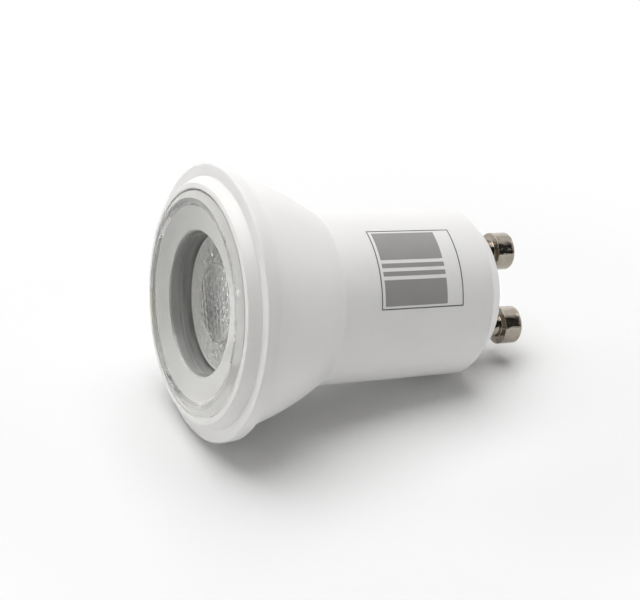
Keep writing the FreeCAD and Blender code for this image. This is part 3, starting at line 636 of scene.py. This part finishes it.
def lens_outline():
    """Well, annulus, edge, flange, flank, foot and domed hollow."""
    dome_bow = (CAVITY_TOP ** 2 / DOME + DOME) / 2
    cavity_z = FOOT_Z - CAVITY_DEPTH
    line = outline([
        corner(DISC, DISC_Z, 0.08),
        corner(DISC, WELL_FLOOR_Z, 0.2),
        corner(WELL_FLOOR, WELL_FLOOR_Z, 0.3),
        corner(WELL_MOUTH - 0.1, WELL_MOUTH_Z, 0.3),
        corner(ANNULUS_OUTER, 0.35, 0.15),
        corner(BEAD_INNER, 0, 0.15),
        corner(BEAD_OUTER, 0, 0.3),
        corner(LENS_BODY, BEVEL_Z, 0.15),
        corner(LENS_BODY, FLANGE_Z),
        corner(FLANGE, FLANGE_Z),
        corner(FLANGE, FLANGE_BACK_Z),
        corner(FLANK_START, FLANGE_BACK_Z, 0, -FLANK_BOW),
        corner(FLANK_END, FLANK_END_Z, 0.1),
        corner(CAVITY + FOOT_WIDTH, FOOT_Z),
        corner(CAVITY, FOOT_Z),
        corner(CAVITY_TOP, cavity_z, 0, dome_bow),
        corner(0, cavity_z - DOME),
    ])
    face = [Vector((DISC_FACE * step / DISC_RINGS, DISC_Z)) for step in range(DISC_RINGS)]
    return line + face


lens_mesh = turned(lens_outline())
print("lens body has", len(lens_mesh.polygons), "faces")

# %% [markdown]
# The lens is clear acrylic. The cavity of its mould isn't polished all over: the curved flank and
# the foot come out frosted and look milky from inside, which hides what lies behind them. The
# front and the outer bevel have a faint satin. One material serves the whole body, and masks
# tell it where it is. A mask is one between two radii and two heights, and fades over a tenth of
# a millimetre.
# %% Zones of the lens
BEYOND = 20.0
FADE_MM = 0.1
FRONT_Z = (-BEYOND, WELL_MOUTH_Z + 0.15)
IN_WELL_Z = (WELL_MOUTH_Z + 0.25, WELL_FLOOR_Z + 0.1)
FROST_START = 8.4
LENS_ZONES = {
    "flank": ((FROST_START, BEYOND), (FLANGE_BACK_Z - 0.2, BEYOND)),
    "foot": ((CAVITY + 0.1, BEYOND), (FLANK_END_Z - 0.05, BEYOND)),
    "annulus": ((WELL_MOUTH, ANNULUS_OUTER), FRONT_Z),
    "bevel": ((BEAD_OUTER, BEYOND), FRONT_Z),
    "well_floor": ((DISC + 0.1, WELL_FLOOR - 0.2), IN_WELL_Z),
    "well_wall": ((WELL_FLOOR - 0.05, WELL_MOUTH + 0.1), IN_WELL_Z),
}


def zone_mask(tree, measures, limits):
    """A mask that is one between the limits of radius and of height, in mm."""
    bands = []
    for measure, ends in zip(measures, limits):
        start, stop = [add(tree, "ShaderNodeMapRange", {
            "Value": measure, "From Min": (end - FADE_MM / 2) * MM,
            "From Max": (end + FADE_MM / 2) * MM}).outputs["Result"] for end in ends]
        bands.append(add(tree, "ShaderNodeMath", {0: start, 1: stop},
                         operation="SUBTRACT").outputs[0])
    return add(tree, "ShaderNodeMath", {0: bands[0], 1: bands[1]},
               operation="MULTIPLY").outputs[0]


def strongest(tree, least, masks, values):
    """The largest of a least value and of the values that the zones give inside their masks."""
    best = least
    for name, value in values.items():
        part = add(tree, "ShaderNodeMath", {0: masks[name], 1: value}, operation="MULTIPLY")
        best = add(tree, "ShaderNodeMath", {0: best, 1: part.outputs[0]},
                   operation="MAXIMUM").outputs[0]
    return best


print("the lens has", len(LENS_ZONES), "zones")

# %% [markdown]
# Acrylic bends light a little less than window glass. Its flow while it fills the mould leaves
# very faint waves, which a shallow and wide noise gives. In the well the floor is pebbled, which
# breaks the light into sparks. The wall of the well has painted shade: its tint goes from grey to
# near black towards the floor, in streaky rings. Light on its way to the parts inside passes
# straight through.
# %% Clear acrylic
ACRYLIC_IOR = 1.49
POLISHED = 0.02
ZONE_ROUGHNESS = {"flank": 0.45, "foot": 0.45, "annulus": 0.085, "bevel": 0.085}
ZONE_MILK = {"flank": 0.7, "foot": 0.7, "annulus": 0.32, "bevel": 0.5, "well_floor": 0.1}
FLOW_MM, FLOW_DEPTH_MM = 3.0, 0.01
# The pebbles are deeper than real ones, so that they show.
PEBBLE_MM, PEBBLE_DEPTH_MM = 0.9, 0.9
STREAK_MM, STREAK_SHARE = 0.6, 0.7
STREAK_STRETCH = (0.08, 0.08, 1)
# Painted shade of the well's wall: its tint is light at the mouth and dark at the floor.
WALL_SHADE_MOUTH, WALL_SHADE_FLOOR = 0.6, -0.4


def well_wall_painted_shade(tree, place, height):
    """Painted shade: grey rings that darken to near black towards the floor of the well."""
    drawn = add(tree, "ShaderNodeMapping", {"Vector": place, "Scale": STREAK_STRETCH})
    streaks = add(tree, "ShaderNodeTexNoise", {"Vector": drawn.outputs["Vector"],
                                               "Scale": per_mm(STREAK_MM), "Detail": 2.0})
    depth = add(tree, "ShaderNodeMapRange", {
        "Value": height, "From Min": IN_WELL_Z[0] * MM, "From Max": WELL_FLOOR_Z * MM,
        "To Min": WALL_SHADE_MOUTH, "To Max": WALL_SHADE_FLOOR})
    bands = add(tree, "ShaderNodeMath", {0: streaks.outputs["Fac"], 1: STREAK_SHARE,
                                         2: depth.outputs["Result"]}, operation="MULTIPLY_ADD")
    return add(tree, "ShaderNodeMix", {"Factor": bands.outputs[0], "A": linear("#2C2E2E"),
                                       "B": linear("#B4B6B4")}, data_type="RGBA").outputs[2]


def lens_bump(tree, place, well_floor):
    """Flow waves all over the lens, and pebbles on the floor of the well."""
    flow = add(tree, "ShaderNodeTexNoise", {"Vector": place, "Scale": per_mm(FLOW_MM)})
    waves = add(tree, "ShaderNodeBump", {"Height": flow.outputs["Fac"],
                                         "Distance": FLOW_DEPTH_MM * MM})
    pebbles = add(tree, "ShaderNodeTexVoronoi", {"Vector": place, "Scale": per_mm(PEBBLE_MM)},
                  feature="SMOOTH_F1")
    return add(tree, "ShaderNodeBump", {
        "Height": pebbles.outputs["Distance"], "Distance": PEBBLE_DEPTH_MM * MM,
        "Strength": well_floor, "Normal": waves.outputs["Normal"]}).outputs["Normal"]


def clear_acrylic():
    """Clear plastic with each zone's roughness, milk and bumps, and painted shade on the well's
    wall.
    """
    material, tree = new_material("clear_acrylic_polished")
    place = add(tree, "ShaderNodeTexCoord").outputs["Object"]
    height = add(tree, "ShaderNodeSeparateXYZ", {0: place}).outputs["Z"]
    flat = add(tree, "ShaderNodeVectorMath", {0: place, 1: (1, 1, 0)}, operation="MULTIPLY")
    radius = add(tree, "ShaderNodeVectorMath", {0: flat.outputs[0]},
                 operation="LENGTH").outputs["Value"]
    masks = {name: zone_mask(tree, (radius, height), limits)
             for name, limits in LENS_ZONES.items()}
    # Painted shade: the well's wall takes a grey tint that darkens towards the floor.
    tint = add(tree, "ShaderNodeMix", {
        "Factor": masks["well_wall"], "A": linear("#FBFCFC"),
        "B": well_wall_painted_shade(tree, place, height)}, data_type="RGBA")
    bump = lens_bump(tree, place, masks["well_floor"])
    shader = add(tree, "ShaderNodeBsdfPrincipled", {
        "Base Color": tint.outputs[2], "IOR": ACRYLIC_IOR, "Transmission Weight": 1.0,
        "Roughness": strongest(tree, POLISHED, masks, ZONE_ROUGHNESS), "Normal": bump})
    milk = add(tree, "ShaderNodeBsdfDiffuse", {"Color": linear("#F6F5F2"), "Normal": bump})
    body = add(tree, "ShaderNodeMixShader", {0: strongest(tree, 0.0, masks, ZONE_MILK),
                                             1: shader.outputs["BSDF"], 2: milk.outputs[0]})
    clear = add(tree, "ShaderNodeBsdfTransparent", {"Color": linear("#FFFFFF")})
    shadow = add(tree, "ShaderNodeLightPath").outputs["Is Shadow Ray"]
    mix = add(tree, "ShaderNodeMixShader", {0: shadow, 1: body.outputs[0],
                                            2: clear.outputs[0]})
    add(tree, "ShaderNodeOutputMaterial", {"Surface": mix.outputs[0]})
    return material


acrylic = clear_acrylic()
print("acrylic takes", len(acrylic.node_tree.nodes), "nodes")

# %% [markdown]
# The disc carries a honeycomb of small lenses. They repeat by a rule, so Geometry Nodes make
# them: for each point of the disc the tree finds the distance to the nearest centre of a
# hexagonal lattice, and raises the point by a cap of that distance. The cap falls to nothing at
# the corner of its cell, which lies 1 / sqrt(3) of the pitch from the centre. The lattice is two
# rectangular grids, one shifted by half a cell, and the nearer of the two centres counts. The
# small stub on the front bevel is what is left of the gate that the plastic flowed in by.
# %% Honeycomb of lenslets
LENSLET_PITCH_MM = 1.05
LENSLET_RISE_MM = 0.15
LENSLET_EDGE_MM = 0.35
LENSLET_FIELD = DISC * 0.96
SAME_HEIGHT_MM = 0.02


def lenslet_tree():
    """The tree that raises the points of the disc, with its sizes as inputs."""
    tree = bpy.data.node_groups.new("lenslets", "GeometryNodeTree")
    sockets = tree.interface
    sockets.new_socket("Geometry", in_out="INPUT", socket_type="NodeSocketGeometry")
    for name in ("Pitch", "Rise", "Disc radius", "Disc height"):
        sockets.new_socket(name, in_out="INPUT", socket_type="NodeSocketFloat")
    sockets.new_socket("Geometry", in_out="OUTPUT", socket_type="NodeSocketGeometry")
    given = add(tree, "NodeGroupInput").outputs
    place = add(tree, "GeometryNodeInputPosition").outputs["Position"]
    flat = add(tree, "ShaderNodeVectorMath", {0: place, 1: (1, 1, 0)}, operation="MULTIPLY")
    cell = add(tree, "ShaderNodeCombineXYZ", {"Y": given["Pitch"], "X": add(
        tree, "ShaderNodeMath", {0: given["Pitch"], 1: math.sqrt(3)},
        operation="MULTIPLY").outputs[0]})
    half = add(tree, "ShaderNodeVectorMath", {0: cell.outputs[0], "Scale": 0.5},
               operation="SCALE")
    minus = add(tree, "ShaderNodeVectorMath", {0: cell.outputs[0], "Scale": -0.5},
                operation="SCALE")
    shifted = add(tree, "ShaderNodeVectorMath", {0: flat.outputs[0], 1: half.outputs[0]},
                  operation="ADD")
    reach = []
    for grid in (flat, shifted):
        wrapped = add(tree, "ShaderNodeVectorMath", {0: grid.outputs[0], 1: half.outputs[0],
                                                     2: minus.outputs[0]}, operation="WRAP")
        flattened = add(tree, "ShaderNodeVectorMath", {0: wrapped.outputs[0], 1: (1, 1, 0)},
                        operation="MULTIPLY")
        reach.append(add(tree, "ShaderNodeVectorMath", {0: flattened.outputs[0]},
                         operation="LENGTH").outputs["Value"])
    nearest = add(tree, "ShaderNodeMath", {0: reach[0], 1: reach[1]}, operation="MINIMUM")
    share = add(tree, "ShaderNodeMath", {0: nearest.outputs[0], 1: given["Pitch"]},
                operation="DIVIDE")
    square = add(tree, "ShaderNodeMath", {0: share.outputs[0], 1: 2.0}, operation="POWER")
    cap = add(tree, "ShaderNodeMath", {0: square.outputs[0], 1: -3.0, 2: 1.0},
              operation="MULTIPLY_ADD")
    from_axis = add(tree, "ShaderNodeVectorMath", {0: flat.outputs[0]}, operation="LENGTH")
    fade = add(tree, "ShaderNodeMapRange", {
        "Value": from_axis.outputs["Value"], "From Max": given["Disc radius"],
        "From Min": add(tree, "ShaderNodeMath", {0: given["Disc radius"],
                                                 1: LENSLET_EDGE_MM * MM},
                        operation="SUBTRACT").outputs[0],
        "To Min": 1.0, "To Max": 0.0})
    rise = add(tree, "ShaderNodeMath", {0: cap.outputs[0], 1: given["Rise"]},
               operation="MULTIPLY")
    lift = add(tree, "ShaderNodeMath", {0: rise.outputs[0], 1: fade.outputs["Result"]},
               operation="MULTIPLY")
    down = add(tree, "ShaderNodeMath", {0: lift.outputs[0], 1: -1.0}, operation="MULTIPLY")
    offset = add(tree, "ShaderNodeCombineXYZ", {"Z": down.outputs[0]})
    height = add(tree, "ShaderNodeSeparateXYZ", {0: place}).outputs["Z"]
    on_disc = add(tree, "FunctionNodeCompare", {"A": height, "B": given["Disc height"],
                                                "Epsilon": SAME_HEIGHT_MM * MM}, operation="EQUAL")
    moved = add(tree, "GeometryNodeSetPosition", {
        "Geometry": given["Geometry"], "Selection": on_disc.outputs["Result"],
        "Offset": offset.outputs[0]})
    real = add(tree, "GeometryNodeRealizeInstances", {"Geometry": moved.outputs["Geometry"]})
    set_material = add(tree, "GeometryNodeSetMaterial", {"Geometry": real.outputs["Geometry"],
                                                         "Material": acrylic})
    add(tree, "NodeGroupOutput", {"Geometry": set_material.outputs["Geometry"]})
    return tree


def set_input(modifier, name, value):
    """Set a modifier's input by the identifier of its socket."""
    for item in modifier.node_group.interface.items_tree:
        if item.name == name and item.in_out == "INPUT":
            modifier[item.identifier] = value


def with_lenslets(mesh):
    """The lens's mesh after the tree has raised its lenslets."""
    carrier = bpy.data.objects.new("lens_carrier", mesh)
    scene.collection.objects.link(carrier)
    modifier = carrier.modifiers.new("lenslets", "NODES")
    modifier.node_group = lenslet_tree()
    set_input(modifier, "Pitch", LENSLET_PITCH_MM * MM)
    set_input(modifier, "Rise", LENSLET_RISE_MM * MM)
    set_input(modifier, "Disc radius", LENSLET_FIELD * MM)
    set_input(modifier, "Disc height", DISC_Z * MM)
    plain = bpy.data.meshes.new_from_object(carrier.evaluated_get(
        bpy.context.evaluated_depsgraph_get()))
    carrier.modifiers.remove(modifier)
    bpy.data.objects.remove(carrier)
    shade(plain)
    return plain


add_piece("collimator", even_normals(with_lenslets(lens_mesh)), acrylic, "clear_lens", "lens")
NIB, NIB_PLACE, NIB_Z = 0.35, 13.55, (0.05, 0.6)
nib = turned(outline([corner(0, NIB_Z[1]), corner(0, NIB_Z[0]), corner(NIB, NIB_Z[0], 0.1),
                      corner(NIB, NIB_Z[1])]), centre=(NIB_PLACE, 0))
add_piece("gate_nib", nib, acrylic, "clear_lens")
print("lenslets every", LENSLET_PITCH_MM, "mm")

# %% [markdown]
# The LED is a white ceramic base with a round pool of silicone, tinted yellow by its phosphor.
# It sits in the lens's hollow.
# %% LED
led_low, led_high = node_box("led_emitter")


def block(low, high, bevel_mm):
    """A closed box in metres between two corners in mm, with its edges bevelled."""
    shape = bmesh.new()
    bmesh.ops.create_cube(shape, size=1.0)
    middle, edge = (low + high) / 2, high - low
    for vert in shape.verts:
        vert.co = Vector([(middle[i] + vert.co[i] * edge[i]) * MM for i in range(3)])
    bmesh.ops.bevel(shape, geom=shape.edges[:], offset=bevel_mm * MM, segments=2,
                    affect="EDGES")
    bmesh.ops.recalc_face_normals(shape, faces=shape.faces)
    mesh = bpy.data.meshes.new("block")
    shape.to_mesh(mesh)
    shape.free()
    shade(mesh)
    return mesh


POOL_RADIUS, POOL_DEPTH = 2.0, 0.4
base_low = Vector((led_low.x, led_low.y, led_low.z + POOL_DEPTH))
base_mesh = block(base_low, led_high, bevel_mm=0.08)
add_piece("led_base", base_mesh, led_ceramic, "phosphor", "led_emitter")
pool = turned(outline([corner(0, base_low.z), corner(0, led_low.z),
                       corner(POOL_RADIUS, led_low.z, 0.3), corner(POOL_RADIUS, base_low.z)]))
add_piece("phosphor_pool", pool, phosphor, "phosphor", "led_emitter")
print("LED base", round(led_high.x - led_low.x, 2), "mm square")

# %% [markdown]
# The neck carries a printed panel. A plain one stands here: a dark frame round grey fields with
# white rules between them, and an empty strip at its end, in pad-printing ink. Each field is a
# thin patch that follows the neck's surface.
# %% Printed panel
# Flat inks with hardly any shine.
ink_grey = grained("pad_print_grey", "#9E9C9A", "#969492", grain_mm=0.2, depth_mm=0.003,
                   roughness=0.4)
ink_dark = grained("pad_print_dark", "#5E5E60", "#545456", grain_mm=0.2, depth_mm=0.003,
                   roughness=0.4)
INK_MM = 0.02
PANEL_Z = (20.8, 32.8)
PANEL_ANGLE = (-40.5, 15.0)


def neck_radius(z):
    """The neck's outer radius at a height, in mm."""
    share = (z - NECK_Z) / (shell_high.z - NECK_Z)
    return NECK_FRONT + (NECK_BACK - NECK_FRONT) * share


def patch(shape, z_range, angle_range):
    """A thin closed patch of ink on the neck between two heights and two angles in degrees."""
    columns = max(2, round(angle_range[1] - angle_range[0]))
    layers = []
    for height in (0.0, INK_MM):
        rows = []
        for z in z_range:
            radius = neck_radius(z) + height
            angles = [math.radians(angle_range[0] + (angle_range[1] - angle_range[0]) * i
                                   / columns) for i in range(columns + 1)]
            rows.append([shape.verts.new((radius * math.cos(a) * MM, radius * math.sin(a) * MM,
                                          z * MM)) for a in angles])
        layers.append(rows)
    (under_low, under_high), (over_low, over_high) = layers
    loop_under = under_low + under_high[::-1]
    loop_over = over_low + over_high[::-1]
    for i in range(columns):
        shape.faces.new((over_low[i], over_low[i + 1], over_high[i + 1], over_high[i]))
        shape.faces.new((under_low[i], under_high[i], under_high[i + 1], under_low[i + 1]))
    count = len(loop_under)
    for i in range(count):
        j = (i + 1) % count
        shape.faces.new((loop_under[i], loop_under[j], loop_over[j], loop_over[i]))


def printed(name, material, patches):
    """Put one piece of ink in the scene, from a list of patches."""
    shape = bmesh.new()
    for z_range, angle_range in patches:
        patch(shape, z_range, angle_range)
    bmesh.ops.recalc_face_normals(shape, faces=shape.faces)
    mesh = bpy.data.meshes.new(name)
    shape.to_mesh(mesh)
    shape.free()
    add_piece(name, mesh, material, "white_shell")


LINE_MM = 0.14
LINE_ANGLE = math.degrees(LINE_MM / neck_radius(sum(PANEL_Z) / 2))
(z0, z1), (a0, a1) = PANEL_Z, PANEL_ANGLE
printed("panel_frame", ink_dark, [
    ((z0, z0 + LINE_MM), (a0, a1)), ((z1 - LINE_MM, z1), (a0, a1)),
    ((z0 + LINE_MM, z1 - LINE_MM), (a0, a0 + LINE_ANGLE)),
    ((z0 + LINE_MM, z1 - LINE_MM), (a1 - LINE_ANGLE, a1)),
])
FIELD_Z = (z0 + 0.55, z1 - 2.4)
FIELD_ANGLES = [(-38.3, -17.5), (-15.0, -12.0), (-9.5, -6.5), (-4.0, 12.8)]
printed("panel_fields", ink_grey, [(FIELD_Z, angles) for angles in FIELD_ANGLES])
print("panel", round(z1 - z0, 1), "mm long with", len(FIELD_ANGLES), "fields")

# %% [markdown]
# The studio is white and soft. The table is the slanted plane under the lying lamp, seen only
# from its upper side. It takes shadows but throws none, so a light from below can reach the side
# that rests on it, for the views from there. A second plane lies under the standing lamp for
# views from above, and only the camera sees it. Far from the lamp both turn to plain white, near
# it they take its shadow.
# %% Table, ground and backdrop
def white_plane_material(name, inner_mm, outer_mm):
    """Matt white near the lamp, and plain white light past the outer distance."""
    material, tree = new_material(name)
    place = add(tree, "ShaderNodeTexCoord").outputs["Object"]
    far = add(tree, "ShaderNodeVectorMath", {0: place}, operation="LENGTH").outputs["Value"]
    fade = add(tree, "ShaderNodeMapRange", {"Value": far, "From Min": inner_mm * MM,
                                            "From Max": outer_mm * MM},
               interpolation_type="SMOOTHSTEP").outputs["Result"]
    path = add(tree, "ShaderNodeLightPath").outputs
    seen = add(tree, "ShaderNodeMath", {0: path["Is Camera Ray"], 1: path["Is Glossy Ray"]},
               operation="MAXIMUM").outputs[0]
    seen = add(tree, "ShaderNodeMath", {0: seen, 1: path["Is Transmission Ray"]},
               operation="MAXIMUM").outputs[0]
    share = add(tree, "ShaderNodeMath", {0: fade, 1: seen}, operation="MULTIPLY").outputs[0]
    matt = add(tree, "ShaderNodeBsdfDiffuse", {"Color": linear("#F7F7F7")}).outputs[0]
    white = add(tree, "ShaderNodeEmission", {"Color": linear("#FFFFFF")}).outputs[0]
    front = add(tree, "ShaderNodeMixShader", {0: share, 1: matt, 2: white}).outputs[0]
    clear = add(tree, "ShaderNodeBsdfTransparent").outputs[0]
    behind = add(tree, "ShaderNodeNewGeometry").outputs["Backfacing"]
    passed = add(tree, "ShaderNodeMath", {0: behind, 1: path["Is Shadow Ray"]},
                 operation="MAXIMUM").outputs[0]
    mix = add(tree, "ShaderNodeMixShader", {0: passed, 1: front, 2: clear})
    add(tree, "ShaderNodeOutputMaterial", {"Surface": mix.outputs[0]})
    return material


PLANE_MM = 3000
GROUND_GAP_MM = 0.02
RIM_Z = LIP_Z + 1.75


def plane(name, middle, normal, material):
    """A large square for the stage, with its face along the normal."""
    mesh = bpy.data.meshes.new(name)
    half = PLANE_MM / 2 * MM
    mesh.from_pydata([(-half, -half, 0), (half, -half, 0), (half, half, 0), (-half, half, 0)],
                     [], [(0, 1, 2, 3)])
    mesh.materials.append(material)
    thing = bpy.data.objects.new(name, mesh)
    scene.collection.objects.link(thing)
    thing.matrix_world = Matrix.Translation(middle) @ normal.to_track_quat(
        "Z", "Y").to_matrix().to_4x4()
    return thing


# The lowest of two circles of the lying lamp, its rim and the back of its neck.
table_height = min((Vector((0, 0, z * MM)) - LAMP_MIDDLE).dot(TABLE_UP)
                   - r * MM * math.sqrt(1 - TABLE_UP.z ** 2)
                   for r, z in ((RIM, RIM_Z), (NECK_BACK, shell_high.z)))
plane("table", LAMP_MIDDLE + TABLE_UP * table_height, TABLE_UP,
      white_plane_material("white_table", inner_mm=30, outer_mm=75))
ground = plane("ground", Vector((0, 0, -GROUND_GAP_MM * MM)), Vector((0, 0, 1)),
               white_plane_material("white_ground", inner_mm=45, outer_mm=110))
ground.visible_diffuse = ground.visible_glossy = False
ground.visible_transmission = ground.visible_shadow = False
print("table lies", round(-table_height / MM, 1), "mm under the lamp's middle")

# %% [markdown]
# One large softbox hangs over the table, a little behind the lamp and to its left. It gives the
# bright tops, the grey undersides and the soft shadow. Weak ones at the ends, in front, behind
# and below lighten what it leaves dark. The small one called glint stands where the sides of the
# lenslets mirror it to the camera, so that each sends back a spark. A softbox of power P at
# distance d lights a facing surface at P / (pi d)^2, so each is given by the level that it
# should bring.
# %% Softboxes
def softbox(name, around, up, distance_mm, size_mm, level):
    """A square softbox that faces the lamp, from two angles in degrees in the studio."""
    turn, rise = math.radians(around), math.radians(up)
    out = ((PICTURE_RIGHT * math.cos(turn) + AWAY * math.sin(turn)) * math.cos(rise)
           + TABLE_UP * math.sin(rise))
    data = bpy.data.lights.new(name, "AREA")
    data.shape = "SQUARE"
    data.size = size_mm * MM
    data.energy = level * (math.pi * distance_mm * MM) ** 2
    box = bpy.data.objects.new(name, data)
    scene.collection.objects.link(box)
    place = Matrix.Translation(LAMP_MIDDLE + out * distance_mm * MM)
    box.matrix_world = place @ out.to_track_quat("Z", "Y").to_matrix().to_4x4()


# Angle round, angle up, distance and size in mm, level.
softbox("overhead", 120, 80, 450, 480, 1.26)
softbox("right", 15, 9, 500, 500, 0.24)
softbox("left", 190, 15, 500, 500, 0.06)
softbox("glint", 165, 9, 500, 130, 0.20)
softbox("front", 250, 8, 500, 500, 0.12)
softbox("back", 90, 8, 500, 500, 0.10)
softbox("below", 90, -75, 450, 500, 0.14)
print(len(bpy.data.lights), "softboxes")

# %% [markdown]
# The room is the world round the studio. It gives the surfaces next to no light. The camera sees
# it white, and so do mirrors and clear plastic where they look past the lamp, away from the
# camera. On the camera's side it stays dark, which gives the nickel its dark reflections.
# %% Room
ROOM_LEVEL = 0.03
BACKDROP_FULL = 0.35


def make_world():
    """A dim room that looks white to the camera, and behind the lamp in mirrors."""
    world = bpy.data.worlds.new("room")
    world.use_nodes = True
    tree = world.node_tree
    tree.nodes.clear()
    path = add(tree, "ShaderNodeLightPath").outputs
    direction = add(tree, "ShaderNodeTexCoord").outputs["Generated"]
    away = add(tree, "ShaderNodeVectorMath", {0: direction, 1: AWAY},
               operation="DOT_PRODUCT").outputs["Value"]
    backdrop = add(tree, "ShaderNodeMapRange", {
        "Value": away, "From Min": 0.0, "From Max": BACKDROP_FULL}).outputs["Result"]
    through = add(tree, "ShaderNodeMath", {0: path["Is Glossy Ray"],
                                           1: path["Is Transmission Ray"]},
                  operation="MAXIMUM").outputs[0]
    through = add(tree, "ShaderNodeMath", {0: through, 1: backdrop},
                  operation="MULTIPLY").outputs[0]
    seen = add(tree, "ShaderNodeMath", {0: path["Is Camera Ray"], 1: through},
               operation="MAXIMUM").outputs[0]
    level = add(tree, "ShaderNodeMapRange", {"Value": seen, "To Min": ROOM_LEVEL,
                                             "To Max": 1.0}).outputs["Result"]
    room = add(tree, "ShaderNodeBackground", {"Color": linear("#FFFFFF"), "Strength": level})
    add(tree, "ShaderNodeOutputWorld", {"Surface": room.outputs[0]})
    scene.world = world


make_world()
print("room level", ROOM_LEVEL)
